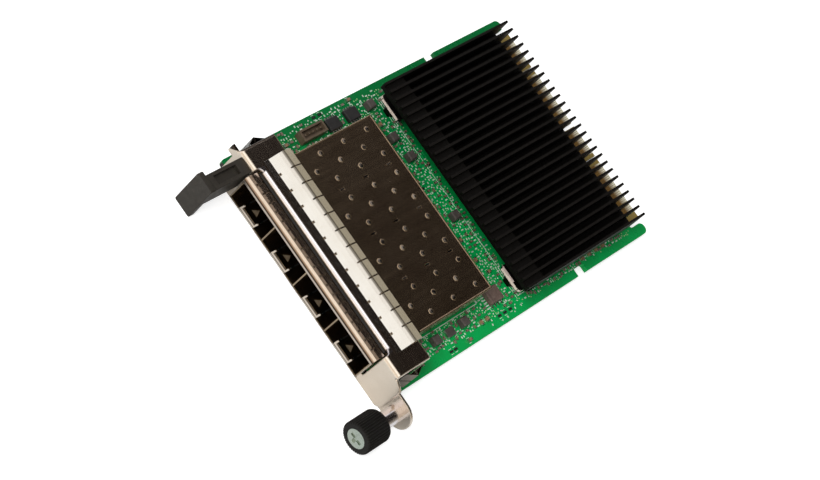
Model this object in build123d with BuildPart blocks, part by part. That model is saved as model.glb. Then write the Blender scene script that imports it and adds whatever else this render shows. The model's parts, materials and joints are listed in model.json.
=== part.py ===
from build123d import *
from math import cos, pi, sin
import os

os.makedirs("parts", exist_ok=True)

# Mezzanine network card with four module ports.
# Origin: middle of the bracket's lower edge, in the plane of its front face.
# +X is to the right seen from the front, +Y is the way the card is pushed in, +Z is up.

# Driving dimensions of the card, in millimetres
port_count = 4
port_pitch = 14.25
cage_depth = 47.7
cage_height = 9.8          # board to the top of the cage
mouth_reach = 2.3          # how far the mouths stand out of the bracket
flange_margin = 7.1        # cage's side to the bracket's side wall
flange_clearance = 1.65    # cage's top to the bracket's upper edge
board_margin = 2.4         # bracket's side wall to the board's side edge
board_thickness = 1.57
board_lift = 1.48          # bracket's lower edge to the board's underside
board_setback = 2.0        # bracket's front face to the board's front edge
bracket_sheet = 0.8
sink_gap = 9.9             # cage to the fins
sink_length = 53.0
sink_height = 11.0         # board to the fins' tips
board_tail = 8.7           # heat sink to the board's rear edge
overrun = 1.0              # how far a cutting shape passes what it cuts
fit_gap = 0.1              # a piece in its hole or window, all round

board_under = board_lift
board_top = board_lift + board_thickness
sides = (-1, 1)

# Cage places that other pieces follow
cage_sheet = 0.3
cage_half = port_count * port_pitch / 2
cage_front = -mouth_reach
cage_rear = cage_front + cage_depth
cage_top = board_top + cage_height
bracket_height = cage_top + flange_clearance
flange_half = cage_half + flange_margin
card_width = 2 * (flange_half + board_margin)
sink_front = cage_rear + sink_gap
sink_rear = sink_front + sink_length
board_front = board_setback
board_rear = sink_rear + board_tail
board_length = board_rear - board_front
port_centres = [(i - (port_count - 1) / 2) * port_pitch for i in range(port_count)]
wall_places = [(i - port_count / 2) * port_pitch for i in range(1, port_count)]

# Bracket places that other pieces follow
flange_rear = 12.5
flange_under = bracket_height - bracket_sheet
wall_inner = flange_half - bracket_sheet
foot_length = 6.0
foot_width = 5.0
foot_front = 5.0
foot_across = wall_inner - foot_width / 2
foot_screw_places = [(side * foot_across, foot_front + foot_length / 2) for side in sides]

# Screw sizes: M2 throughout, M3 for the captive thumbscrew
small_screw = 2.0
small_head = 3.6
small_head_height = 0.8
small_cross = 0.5
small_cross_depth = 0.4
shaft_sides = 8

# Heat sink places that the board follows
fin_count = 27
fin_thickness = 0.7
sink_margin = 3.85         # board's side edge to the heat sink's
fin_overhang = 6.7
sink_base_gap = 2.3        # board to the underside of the base
sink_base = 1.7
lug_inset = 1.15
lug_width = 8.6
lug_reach = 3.5
post_radius = 2.0
post_sides = 6
sink_half = card_width / 2 - sink_margin
fin_pitch = (2 * sink_half - fin_thickness) / (fin_count - 1)
sink_base_front = sink_front + fin_overhang
lug_outer = sink_half - lug_inset
lug_inner = lug_outer - lug_width
post_front = sink_base_front - lug_reach + post_radius
post_rear = sink_rear - post_radius - fin_pitch
post_across = (lug_outer + lug_inner) / 2
sink_screw_places = [(side * post_across, y) for side in sides for y in (post_front, post_rear)]

# Circuit board
board_corner = 1.0
notch_width = 4.1
notch_depth = 2.5
notch_corner = 0.6
notch_place = 83.35        # from the board's front edge
ear_width = 3.4
slit_width = 1.2
slit_length = 5.5
ear_shortfall = 0.5
ear_corner = 1.6
edge_bevel = 0.3
contact_margin = 3.1       # tongue's side to the first contact
contact_width_share = 0.8
contact_length = 4.4
contact_thickness = 0.05
contact_counts = (14, 28, 14, 28)
key_gap = 3.4
key_width = 1.2
key_depth = 4.8
pin_side = 0.6
pin_shares = (0.153, 0.551, 0.908)     # along the cage
pin_inset = 0.7
pin_columns = [pin_inset - cage_half, *wall_places, cage_half - pin_inset]
pin_rows = [cage_front + share * cage_depth for share in pin_shares]
pin_places = [(x, y) for x in pin_columns for y in pin_rows]
ear_inner = card_width / 2 - ear_width
tongue_half = ear_inner - slit_width
contact_row = 2 * (tongue_half - contact_margin)
contact_pitch = (contact_row - (len(contact_counts) - 1) * key_gap) / sum(contact_counts)
contact_width = contact_width_share * contact_pitch


def group_starts():
    """First contact's X of each group, and each key's X, for a row centred on the card."""
    x = -contact_row / 2
    starts, keys = [], []
    for count in contact_counts:
        starts.append(x + contact_pitch / 2)
        x += count * contact_pitch
        keys.append(x + key_gap / 2)
        x += key_gap
    return starts, keys[:-1]


contact_starts, key_places = group_starts()
contact_y = board_rear - edge_bevel - contact_length / 2
contact_places = [
    (start + i * contact_pitch, contact_y)
    for start, count in zip(contact_starts, contact_counts)
    for i in range(count)
]

with BuildPart() as circuit_board:
    with BuildSketch(Plane.XY.offset(board_under)):
        with Locations((0, board_front + board_length / 2)):
            Rectangle(card_width, board_length)
        with Locations(*[(side * card_width / 2, board_front + notch_place) for side in sides]):
            RectangleRounded(2 * notch_depth, notch_width, notch_corner, mode=Mode.SUBTRACT)
        with Locations(*[(side * (tongue_half + slit_width / 2), board_rear) for side in sides]):
            SlotOverall(2 * slit_length, slit_width, rotation=90, mode=Mode.SUBTRACT)
        with Locations(*[(side * (ear_inner + card_width / 2) / 2, board_rear) for side in sides]):
            Rectangle(card_width / 2 - ear_inner, 2 * ear_shortfall, mode=Mode.SUBTRACT)
        with Locations(*[(x, board_rear) for x in key_places]):
            SlotOverall(2 * key_depth, key_width, rotation=90, mode=Mode.SUBTRACT)
    extrude(amount=board_thickness)
    fillet(circuit_board.edges().filter_by(Axis.Z).group_by(Axis.Y)[0], board_corner)
    ear_ends = [
        edge
        for edge in circuit_board.edges().filter_by(Axis.Z)
        if abs(edge.center().Y - (board_rear - ear_shortfall)) < ear_shortfall / 2
        and abs(edge.center().X) > ear_inner - ear_shortfall
    ]
    fillet(ear_ends, ear_corner)
    tongue_edges = circuit_board.edges().filter_by(Axis.X).group_by(Axis.Y)[-1]
    chamfer(tongue_edges, edge_bevel)
    with BuildSketch(Plane.XY.offset(board_under - overrun)):
        with Locations(*foot_screw_places, *sink_screw_places):
            RegularPolygon(small_screw / 2 + fit_gap, shaft_sides)
        with Locations(*pin_places):
            Rectangle(pin_side + 2 * fit_gap, pin_side + 2 * fit_gap)
    extrude(amount=board_thickness + 2 * overrun, mode=Mode.SUBTRACT)
circuit_board.part.label = "circuit_board"
export_step(circuit_board.part, "parts/circuit_board.step")

with BuildPart() as edge_contacts_top:
    with BuildSketch(Plane.XY.offset(board_top)):
        with Locations(*contact_places):
            Rectangle(contact_width, contact_length)
    extrude(amount=contact_thickness)
edge_contacts_top.part.label = "edge_contacts_top"
export_step(edge_contacts_top.part, "parts/edge_contacts_top.step")

with BuildPart() as edge_contacts_bottom:
    with BuildSketch(Plane.XY.offset(board_under - contact_thickness)):
        with Locations(*contact_places):
            Rectangle(contact_width, contact_length)
    extrude(amount=contact_thickness)
edge_contacts_bottom.part.label = "edge_contacts_bottom"
export_step(edge_contacts_bottom.part, "parts/edge_contacts_bottom.step")

# Bracket: one folded sheet
plate_wing = 3.15          # right side wall to the right end of the plate
plate_left = -flange_half - bracket_sheet / 2
plate_right = flange_half + plate_wing
plate_low_cut = 1.75       # bevel at the lower right corner
plate_shoulder = 11.25     # where the right end starts to slope in
plate_slope = 1.9
hook_reach = 2.0
hook_low = 10.6
window_margin = 0.7
window_half = cage_half + window_margin
window_sill = 3.0
window_corner = 1.5
lip_front = 2.4
lip_low = cage_top + fit_gap
lip_half = window_half - window_corner
lip_fold = 2.0
lip_bend = 0.95
bend_outer = 1.2
side_bend = 0.6
bend_start = bracket_height - bend_outer
bend_seam = bend_start - bend_outer
wall_front = 1.9
screw_axis_z = 5.05
screw_beside = 3.25        # right end of the plate to the screw's axis
screw_axis_x = plate_right + screw_beside
ear_radius = 4.95
ear_front = 0.6
joggle_top = screw_axis_z + ear_radius
tongue_across = 3.0
tongue_height = 4.8
tongue_inset = 3.8
tongue_x = tongue_inset - flange_half
tongue_z = 9.15
barrel_neck = 4.4
window_top = bracket_height + overrun

with BuildPart() as faceplate:
    # front wall below the bend
    with BuildSketch(Plane.XZ):
        with BuildLine():
            Polyline(
                (plate_left, 0),
                (plate_right - plate_low_cut, 0),
                (plate_right, plate_low_cut),
                (plate_right, plate_shoulder),
                (flange_half + plate_slope, plate_shoulder + plate_slope - bracket_sheet),
                (flange_half, bend_start),
                (flange_half, bend_seam),
                (-flange_half, bend_seam),
                (-flange_half, bend_start),
                (plate_left - hook_reach, bend_start),
                (plate_left - hook_reach, hook_low),
                (plate_left, hook_low),
                close=True,
            )
        make_face()
    extrude(amount=-bracket_sheet)
    # front bend and flange
    with BuildSketch(Plane.YZ.offset(-flange_half)) as fold:
        with BuildLine():
            Polyline(
                (0, bend_seam),
                (0, bracket_height),
                (flange_rear, bracket_height),
                (flange_rear, flange_under),
                (bracket_sheet, flange_under),
                (bracket_sheet, bend_seam),
                close=True,
            )
        make_face()
        front_corner = fold.vertices().group_by(Axis.Y)[-1].sort_by(Axis.X)[0]
        fillet(front_corner, bend_outer)
        under_corners = fold.vertices().filter_by_position(Axis.Y, flange_under, flange_under)
        fillet(under_corners.sort_by(Axis.X)[0], bend_outer - bracket_sheet)
    extrude(amount=2 * flange_half)
    # side walls and their feet
    wall_across = flange_half - bracket_sheet / 2
    wall_middle = (board_top + bracket_height) / 2
    with BuildSketch(Plane.XZ.offset(-wall_front)):
        with Locations((-wall_across, wall_middle), (wall_across, wall_middle)):
            Rectangle(bracket_sheet, bracket_height - board_top)
        with Locations(*[(side * foot_across, board_top + bracket_sheet / 2) for side in sides]):
            Rectangle(foot_width + 2 * bracket_sheet, bracket_sheet)
        with Locations((0, wall_middle)):
            Rectangle(2 * flange_half, bracket_height - board_top, mode=Mode.INTERSECT)
    extrude(amount=-(flange_rear - wall_front))
    side_edges = faceplate.edges().filter_by(Axis.Y).group_by(Axis.Z)[-1]
    fillet(side_edges.group_by(Axis.X)[0] + side_edges.group_by(Axis.X)[-1], side_bend)
    # feet keep only their own length
    foot_rear = foot_front + foot_length
    with BuildSketch(Plane.XY.offset(board_top - overrun)):
        for side in sides:
            with Locations((side * foot_across, (wall_front + foot_front) / 2)):
                Rectangle(foot_width, foot_front - wall_front)
            with Locations((side * foot_across, (foot_rear + flange_rear) / 2)):
                Rectangle(foot_width, flange_rear - foot_rear)
    extrude(amount=overrun + 2 * bracket_sheet, mode=Mode.SUBTRACT)
    # window of the ports, from the sill up through the front bend to the lip
    with BuildSketch(Plane.XZ.offset(overrun)):
        with Locations((0, (window_sill + window_top) / 2)):
            Rectangle(2 * window_half, window_top - window_sill)
    extrude(amount=-(overrun + bend_outer), mode=Mode.SUBTRACT)
    with BuildSketch(Plane.XY.offset(flange_under - overrun)):
        RectangleRounded(2 * window_half, 2 * lip_front, window_corner)
    extrude(amount=bracket_sheet + 2 * overrun, mode=Mode.SUBTRACT)
    # lip turned down behind the window
    with BuildSketch(Plane.XY.offset(flange_under - overrun)):
        with Locations((0, lip_front + lip_fold / 2)):
            Rectangle(2 * lip_half, lip_fold)
    extrude(amount=bracket_sheet + 2 * overrun, mode=Mode.SUBTRACT)
    with BuildSketch(Plane.YZ.offset(-lip_half)) as lip:
        with BuildLine():
            Polyline(
                (lip_front, lip_low),
                (lip_front, bracket_height),
                (lip_front + lip_fold, bracket_height),
                (lip_front + lip_fold, flange_under),
                (lip_front + bracket_sheet, flange_under),
                (lip_front + bracket_sheet, lip_low),
                close=True,
            )
        make_face()
        fillet(lip.vertices().group_by(Axis.Y)[-1].sort_by(Axis.X)[0], lip_bend)
    extrude(amount=2 * lip_half)
    # set-back ear of the thumbscrew
    with BuildSketch(Plane.XZ.offset(-ear_front)):
        with Locations((screw_axis_x, screw_axis_z)):
            Circle(ear_radius)
        with Locations(((plate_right - bracket_sheet + screw_axis_x) / 2, screw_axis_z)):
            Rectangle(screw_axis_x - plate_right + bracket_sheet, 2 * ear_radius)
    extrude(amount=-bracket_sheet)
    with BuildSketch(Plane.XZ):
        with Locations((plate_right - bracket_sheet / 2, (plate_low_cut + joggle_top) / 2)):
            Rectangle(bracket_sheet, joggle_top - plate_low_cut)
    extrude(amount=-(ear_front + bracket_sheet))
    # holes: barrel, pull tab tongue, screws in the feet
    with BuildSketch(Plane.XZ.offset(overrun)):
        with Locations((screw_axis_x, screw_axis_z)):
            Circle(barrel_neck / 2 + fit_gap / 2)
        with Locations((tongue_x, tongue_z)):
            Rectangle(tongue_across + fit_gap, tongue_height + fit_gap)
    extrude(amount=-(bracket_sheet + ear_front + 2 * overrun), mode=Mode.SUBTRACT)
    with BuildSketch(Plane.XY.offset(board_top - overrun)):
        with Locations(*foot_screw_places):
            RegularPolygon(small_screw / 2 + fit_gap / 2, shaft_sides)
    extrude(amount=overrun + 2 * bracket_sheet, mode=Mode.SUBTRACT)
faceplate.part.label = "faceplate"
export_step(faceplate.part, "parts/faceplate.step")

# Spring finger strip on the flange
strip_sheet = 0.2
strip_margin = 5.6
strip_half = flange_half - strip_margin
strip_front = 4.0
strip_root = 5.9
strip_end = 13.9
strip_end_rise = 0.15
strip_bows = ((7.35, 0.74), (8.8, 1.27), (10.3, 1.65))     # Y, and rise above the flange
strip_crest_rise = strip_bows[-1][1]
finger_count = 12
finger_slit = 0.4
finger_slit_front = 9.3
relief_front = 5.3
relief_rear = 6.5
relief_width = 0.7
finger_pitch = 2 * strip_half / finger_count
finger_gaps = [i * finger_pitch - strip_half for i in range(1, finger_count)]

with BuildPart() as top_finger_strip:
    with BuildSketch(Plane.YZ.offset(-strip_half)):
        with BuildLine():
            Polyline(
                (strip_front, bracket_height),
                (strip_root, bracket_height),
                *[(y, bracket_height + rise) for y, rise in strip_bows],
                (strip_end, bracket_height + strip_end_rise),
                (strip_end, bracket_height + strip_end_rise + strip_sheet),
                *[(y, bracket_height + rise + strip_sheet) for y, rise in reversed(strip_bows)],
                (strip_root, bracket_height + strip_sheet),
                (strip_front, bracket_height + strip_sheet),
                close=True,
            )
        make_face()
    extrude(amount=2 * strip_half)
    with BuildSketch(Plane.XY.offset(bracket_height - overrun)):
        with Locations(*[(x, (finger_slit_front + strip_end + overrun) / 2) for x in finger_gaps]):
            Rectangle(finger_slit, strip_end + overrun - finger_slit_front)
        with Locations(*[(x, (relief_front + relief_rear) / 2) for x in finger_gaps]):
            Rectangle(relief_width, relief_rear - relief_front)
    extrude(amount=strip_crest_rise + strip_sheet + 2 * overrun, mode=Mode.SUBTRACT)
top_finger_strip.part.label = "top_finger_strip"
export_step(top_finger_strip.part, "parts/top_finger_strip.step")

# Spring finger strips on the side walls
side_strip_low = 4.6
side_strip_high = 12.6
side_strip_front = 3.4
side_strip_root = 4.4
side_strip_crest = 7.6
side_strip_bulge = 1.7
side_strip_end = 10.6
side_strip_lift = 0.1


def make_side_strip(side):
    """Two bulging spring fingers, their root flat on the side wall; side is -1 left, 1 right."""
    wall = side * flange_half
    skin = side * strip_sheet
    with BuildPart() as strip:
        with BuildSketch(Plane.XY.offset(side_strip_low)):
            with BuildLine():
                Polyline(
                    (wall, side_strip_front),
                    (wall, side_strip_root),
                    (wall + side * side_strip_bulge, side_strip_crest),
                    (wall + side * side_strip_lift, side_strip_end),
                    (wall + side * side_strip_lift + skin, side_strip_end),
                    (wall + side * side_strip_bulge + skin, side_strip_crest),
                    (wall + skin, side_strip_root),
                    (wall + skin, side_strip_front),
                    close=True,
                )
            make_face()
        extrude(amount=side_strip_high - side_strip_low)
        with BuildSketch(Plane.YZ.offset(wall - side * overrun)):
            slit_end = side_strip_end + overrun
            with Locations(((side_strip_root + slit_end) / 2, (side_strip_low + side_strip_high) / 2)):
                Rectangle(slit_end - side_strip_root, finger_slit)
        extrude(amount=side * (side_strip_bulge + 2 * overrun), mode=Mode.SUBTRACT)
    return strip


side_finger_strip_left = make_side_strip(-1)
side_finger_strip_left.part.label = "side_finger_strip_left"
export_step(side_finger_strip_left.part, "parts/side_finger_strip_left.step")

side_finger_strip_right = make_side_strip(1)
side_finger_strip_right.part.label = "side_finger_strip_right"
export_step(side_finger_strip_right.part, "parts/side_finger_strip_right.step")

# Port cage: cover folded over the sides and the rear, with pressed bumps and slots for the dividers' tabs
cage_inner_top = cage_top - cage_sheet
bump_radius = 0.85
bump_sides = 6
bump_rise = 0.35
bump_taper = 50            # degrees
bump_near_share = 0.436    # along the cage
bump_step_share = 0.191
bump_stagger_share = 0.096
bump_across_share = 0.28   # of a port
bump_rows = 3
tab_length = 1.6
tab_rise = 0.25
tab_near_share = 0.509
tab_step_share = 0.193
divider_sheet = 0.4
side_window_length = 2.4
side_window_height = 1.4
side_window_shares = (0.26, 0.51, 0.76)
side_window_rows = [cage_front + share * cage_depth for share in side_window_shares]
side_window_z = (board_top + cage_top) / 2
tab_shares = [tab_near_share + i * tab_step_share for i in range(bump_rows)]
tab_rows = [cage_front + share * cage_depth for share in tab_shares]
bump_spots = [
    (shift, bump_near_share + i * bump_step_share + (bump_stagger_share if shift else 0))
    for shift in (-bump_across_share, 0, bump_across_share)
    for i in range(bump_rows)
]
bump_places = [
    (centre + shift * port_pitch, cage_front + along * cage_depth)
    for centre in port_centres
    for shift, along in bump_spots
]

with BuildPart() as cage_cover:
    with BuildSketch(Plane.XZ.offset(-cage_front)):
        with Locations((0, (board_top + cage_top) / 2)):
            Rectangle(2 * cage_half, cage_height)
        with Locations((0, (board_top + cage_inner_top) / 2)):
            Rectangle(2 * (cage_half - cage_sheet), cage_inner_top - board_top, mode=Mode.SUBTRACT)
    extrude(amount=-cage_depth)
    with BuildSketch(Plane.XZ.offset(-(cage_rear - cage_sheet))):
        with Locations((0, (board_top + cage_top) / 2)):
            Rectangle(2 * cage_half, cage_height)
    extrude(amount=-cage_sheet)
    with BuildSketch(Plane.XY.offset(cage_top + overrun)):
        with Locations(*[(x, y) for x in wall_places for y in tab_rows]):
            Rectangle(divider_sheet + 2 * fit_gap, tab_length + 2 * fit_gap)
    extrude(amount=-(cage_sheet + 2 * overrun), mode=Mode.SUBTRACT)
    with BuildSketch(Plane.YZ.offset(-cage_half - overrun)):
        with Locations(*[(y, side_window_z) for y in side_window_rows]):
            Rectangle(side_window_length, side_window_height)
    extrude(amount=2 * (cage_half + overrun), mode=Mode.SUBTRACT)
    with BuildSketch(Plane.XY.offset(cage_top)):
        with Locations(*bump_places):
            RegularPolygon(bump_radius, bump_sides)
    extrude(amount=bump_rise, taper=bump_taper)
cage_cover.part.label = "cage_cover"
export_step(cage_cover.part, "parts/cage_cover.step")

# Cage base: floor with a latch tab in each mouth, open under the connectors, and pins into the board
floor_gap = 0.15
floor_sheet = 0.25
floor_under = board_top + floor_gap
floor_top = floor_under + floor_sheet
floor_half = cage_half - cage_sheet
mouth_notch = 6.4
mouth_notch_depth = 1.2
latch_slit = 0.5
latch_slit_length = 9.0
latch_hole_side = 2.6
latch_hole_place = 2.6
latch_lip = 0.5
connector_width = 11.2
connector_depth = 10.5
connector_back_gap = 1.9   # connector to the cage's rear
connector_front = cage_rear - connector_back_gap - connector_depth
connector_bay = 0.4
pin_drop = 0.5

with BuildPart() as cage_base:
    with BuildSketch(Plane.XY.offset(floor_under)):
        with Locations((0, (cage_front + cage_rear - cage_sheet) / 2)):
            Rectangle(2 * floor_half, cage_depth - cage_sheet)
        # mouths set back between the corners
        with Locations(*[(x, cage_front) for x in port_centres]):
            Rectangle(mouth_notch, 2 * mouth_notch_depth, mode=Mode.SUBTRACT)
        # slits that free each latch tab
        slit_y = cage_front + mouth_notch_depth + latch_slit_length / 2
        slit_x = (mouth_notch - latch_slit) / 2
        with Locations(*[(x + side * slit_x, slit_y) for x in port_centres for side in sides]):
            Rectangle(latch_slit, latch_slit_length, mode=Mode.SUBTRACT)
        with Locations(*[(x, cage_front + mouth_notch_depth + latch_hole_place) for x in port_centres]):
            Triangle(a=latch_hole_side, b=latch_hole_side, c=latch_hole_side, mode=Mode.SUBTRACT)
        bay_rear = cage_rear - cage_sheet
        with Locations(*[(x, (connector_front - connector_bay + bay_rear) / 2) for x in port_centres]):
            Rectangle(
                connector_width + 2 * connector_bay,
                bay_rear - connector_front + connector_bay,
                mode=Mode.SUBTRACT,
            )
    extrude(amount=floor_sheet)
    # curled front edge of each latch tab
    with BuildSketch(Plane.XZ.offset(-(cage_front + mouth_notch_depth))):
        with Locations(*[(x, floor_top - latch_lip / 2) for x in port_centres]):
            Rectangle(mouth_notch - 2 * latch_slit, latch_lip)
    extrude(amount=-floor_sheet)
    with BuildSketch(Plane.XY.offset(board_under - pin_drop)):
        with Locations(*pin_places):
            Rectangle(pin_side, pin_side)
    extrude(amount=pin_drop + board_thickness + floor_gap)
cage_base.part.label = "cage_base"
export_step(cage_base.part, "parts/cage_base.step")

# Dividers between the ports, with tabs through the cover
for number, x in enumerate(wall_places, start=1):
    with BuildPart() as cage_divider:
        with BuildSketch(Plane.YZ.offset(x - divider_sheet / 2)):
            with Locations(((cage_front + cage_rear - cage_sheet) / 2, (floor_top + cage_inner_top) / 2)):
                Rectangle(cage_depth - cage_sheet, cage_inner_top - floor_top)
            with Locations(*[(y, (cage_inner_top + cage_top + tab_rise) / 2) for y in tab_rows]):
                Rectangle(tab_length, cage_sheet + tab_rise)
        extrude(amount=divider_sheet)
    cage_divider.part.label = f"cage_divider_{number}"
    export_step(cage_divider.part, f"parts/cage_divider_{number}.step")

# Spring collar round the mouths
collar_sheet = 0.2
# behind the cage's front edge and above its top
collar_outer = (
    (-0.75, -0.75), (-0.75, -0.15), (-0.2, 0.4),
    (0.6, 0.65), (1.5, 0.77), (2.0, 0.2), (3.9, 0.2),
)
collar_inner = (
    (3.9, 0), (1.87, 0), (1.4, 0.56),
    (0.65, 0.45), (-0.1, 0.22), (-0.55, -0.23), (-0.55, -0.75),
)
collar_length = 3.9        # from the cage's front edge
collar_slit = 0.25
collar_slit_start = 1.3
collar_relief = 0.6
collar_fingers = 5         # on each port
collar_side_low = 1.0      # above the board
collar_rear = cage_front + collar_length
collar_slit_front = cage_front + collar_slit_start
collar_half = cage_half + collar_sheet
collar_pitch = port_pitch / collar_fingers
collar_gaps = [i * collar_pitch - cage_half for i in range(1, port_count * collar_fingers)]

with BuildPart() as cage_front_springs:
    with BuildSketch(Plane.YZ.offset(-collar_half)):
        with BuildLine():
            corners = collar_outer + collar_inner
            Polyline(*[(cage_front + back, cage_top + rise) for back, rise in corners], close=True)
        make_face()
    extrude(amount=2 * collar_half)
    with BuildSketch(Plane.XY.offset(cage_top)):
        with Locations(*[(x, (collar_slit_front + collar_rear + overrun) / 2) for x in collar_gaps]):
            Rectangle(collar_slit, collar_rear + overrun - collar_slit_front)
        with Locations(*[(x, collar_slit_front) for x in collar_gaps]):
            Rectangle(collar_relief, collar_relief)
    extrude(amount=2 * overrun, mode=Mode.SUBTRACT)
    # flat wings on the cage's sides
    wing_low = board_top + collar_side_low
    wing_high = cage_top + collar_sheet
    for wing_start in (-collar_half, cage_half):
        with BuildSketch(Plane.YZ.offset(wing_start)):
            with Locations(((cage_front + collar_rear) / 2, (wing_low + wing_high) / 2)):
                Rectangle(collar_rear - cage_front, wing_high - wing_low)
        extrude(amount=collar_sheet)
cage_front_springs.part.label = "cage_front_springs"
export_step(cage_front_springs.part, "parts/cage_front_springs.step")

# Port connectors on the board inside the cage
connector_height = 5.6
connector_slot_width = 9.4
connector_slot_height = 1.2
connector_slot_depth = 6.0
connector_slot_rise = 2.9
connector_slot_z = board_top + connector_slot_rise
connector_nose = 1.5
for number, x in enumerate(port_centres, start=1):
    with BuildPart() as port_connector:
        with BuildSketch(Plane.YZ.offset(x - connector_width / 2)) as housing:
            with Locations((connector_front + connector_depth / 2, board_top + connector_height / 2)):
                Rectangle(connector_depth, connector_height)
            chamfer(housing.vertices().group_by(Axis.X)[0].sort_by(Axis.Y)[-1], connector_nose)
        extrude(amount=connector_width)
        with BuildSketch(Plane.XZ.offset(-connector_front + overrun)):
            with Locations((x, connector_slot_z)):
                Rectangle(connector_slot_width, connector_slot_height)
        extrude(amount=-(connector_slot_depth + overrun), mode=Mode.SUBTRACT)
    port_connector.part.label = f"port_connector_{number}"
    export_step(port_connector.part, f"parts/port_connector_{number}.step")

# Heat sink: base on posts, fins that overhang it at the front, lugs at the front corners
fin_overhang_low = 8.5     # above the board
shelf_thickness = 1.2
lug_thickness = 1.0
lug_round = 1.2
thread_depth = 3.2
sink_base_low = board_top + sink_base_gap
fin_tip = board_top + sink_height
fin_starts = [(i - (fin_count - 1) / 2) * fin_pitch - fin_thickness / 2 for i in range(fin_count)]

with BuildPart() as heat_sink:
    with BuildSketch(Plane.XY.offset(sink_base_low)):
        with Locations((0, (sink_base_front + sink_rear) / 2)):
            Rectangle(2 * sink_half, sink_rear - sink_base_front)
    extrude(amount=sink_base)
    with BuildSketch(Plane.XY.offset(sink_base_low)):
        with Locations(*[(side * post_across, sink_base_front) for side in sides]):
            RectangleRounded(lug_outer - lug_inner, 2 * lug_reach, lug_round)
    extrude(amount=lug_thickness)
    with BuildSketch(Plane.XY.offset(board_top)):
        with Locations(*sink_screw_places):
            RegularPolygon(post_radius, post_sides)
    extrude(amount=sink_base_gap)
    # shelf that carries the fins over the parts in front of the base
    with BuildSketch(Plane.YZ.offset(-sink_half)):
        with BuildLine():
            Polyline(
                (sink_base_front, sink_base_low + sink_base / 2),
                (sink_base_front, board_top + fin_overhang_low),
                (sink_front, board_top + fin_overhang_low),
                (sink_front, board_top + fin_overhang_low + shelf_thickness),
                (sink_base_front + shelf_thickness, board_top + fin_overhang_low + shelf_thickness),
                (sink_base_front + shelf_thickness, sink_base_low + sink_base / 2),
                close=True,
            )
        make_face()
    extrude(amount=2 * sink_half)
    for start in fin_starts:
        with BuildSketch(Plane.YZ.offset(start)):
            with BuildLine():
                Polyline(
                    (sink_base_front, sink_base_low + sink_base / 2),
                    (sink_base_front, board_top + fin_overhang_low),
                    (sink_front, board_top + fin_overhang_low),
                    (sink_front, fin_tip),
                    (sink_rear, fin_tip),
                    (sink_rear, sink_base_low + sink_base / 2),
                    close=True,
                )
            make_face()
        extrude(amount=fin_thickness)
    with BuildSketch(Plane.XY.offset(board_top - overrun)):
        with Locations(*sink_screw_places):
            RegularPolygon(small_screw / 2 + fit_gap / 2, shaft_sides)
    extrude(amount=overrun + thread_depth, mode=Mode.SUBTRACT)
heat_sink.part.label = "heat_sink"
export_step(heat_sink.part, "parts/heat_sink.step")


def make_small_screws(places, tip):
    """Pan-head screws driven up from under the board, their tips at the given height."""
    head_low = board_under - small_head_height
    with BuildPart() as screws:
        with BuildSketch(Plane.XY.offset(head_low)):
            with Locations(*places):
                Circle(small_head / 2)
        extrude(amount=small_head_height)
        with BuildSketch(Plane.XY.offset(board_under)):
            with Locations(*places):
                RegularPolygon(small_screw / 2, shaft_sides)
        extrude(amount=tip - board_under)
        with BuildSketch(Plane.XY.offset(head_low)):
            with Locations(*places):
                Rectangle(small_screw, small_cross)
                Rectangle(small_cross, small_screw)
        extrude(amount=small_cross_depth, mode=Mode.SUBTRACT)
    return screws


heat_sink_screws = make_small_screws(sink_screw_places, board_top + thread_depth - fit_gap)
heat_sink_screws.part.label = "heat_sink_screws"
export_step(heat_sink_screws.part, "parts/heat_sink_screws.step")

bracket_screws = make_small_screws(foot_screw_places, board_top + bracket_sheet + fit_gap)
bracket_screws.part.label = "bracket_screws"
export_step(bracket_screws.part, "parts/bracket_screws.step")

# Controller chip: package and lid, with the thermal pad up to the heat sink
chip_side = 25.0
chip_lid_side = 20.0
chip_package = 1.1
pad_thickness = 0.3
chip_y = (sink_base_front + sink_rear) / 2
chip_top = sink_base_low - pad_thickness

with BuildPart() as controller_chip:
    with BuildSketch(Plane.XY.offset(board_top)):
        with Locations((0, chip_y)):
            Rectangle(chip_side, chip_side)
    extrude(amount=chip_package)
    with BuildSketch(Plane.XY.offset(board_top + chip_package)):
        with Locations((0, chip_y)):
            Rectangle(chip_lid_side, chip_lid_side)
    extrude(amount=chip_top - board_top - chip_package)
controller_chip.part.label = "controller_chip"
export_step(controller_chip.part, "parts/controller_chip.step")

with BuildPart() as thermal_pad:
    with BuildSketch(Plane.XY.offset(chip_top)):
        with Locations((0, chip_y)):
            Rectangle(chip_lid_side, chip_lid_side)
    extrude(amount=pad_thickness)
thermal_pad.part.label = "thermal_pad"
export_step(thermal_pad.part, "parts/thermal_pad.step")

# Pull tab: flap, arm and the tongue that goes through the bracket
tab_reach = 14.9
flap_thickness = 1.5
flap_width = 6.2
flap_shift = 0.5           # flap's middle beside the tongue's
flap_low = 0.05
flap_high = 14.05
flap_corner = 0.6
arm_width = 4.7
arm_low = 5.25
arm_high = 13.05
arm_pocket_depth = 1.2
arm_pocket_wall = 1.0
arm_pocket_length = 8.0
tongue_reach = 3.0
cross_pin_radius = 0.6
cross_pin_length = 7.2
cross_pin_y = bracket_sheet + fit_gap + cross_pin_radius

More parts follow.
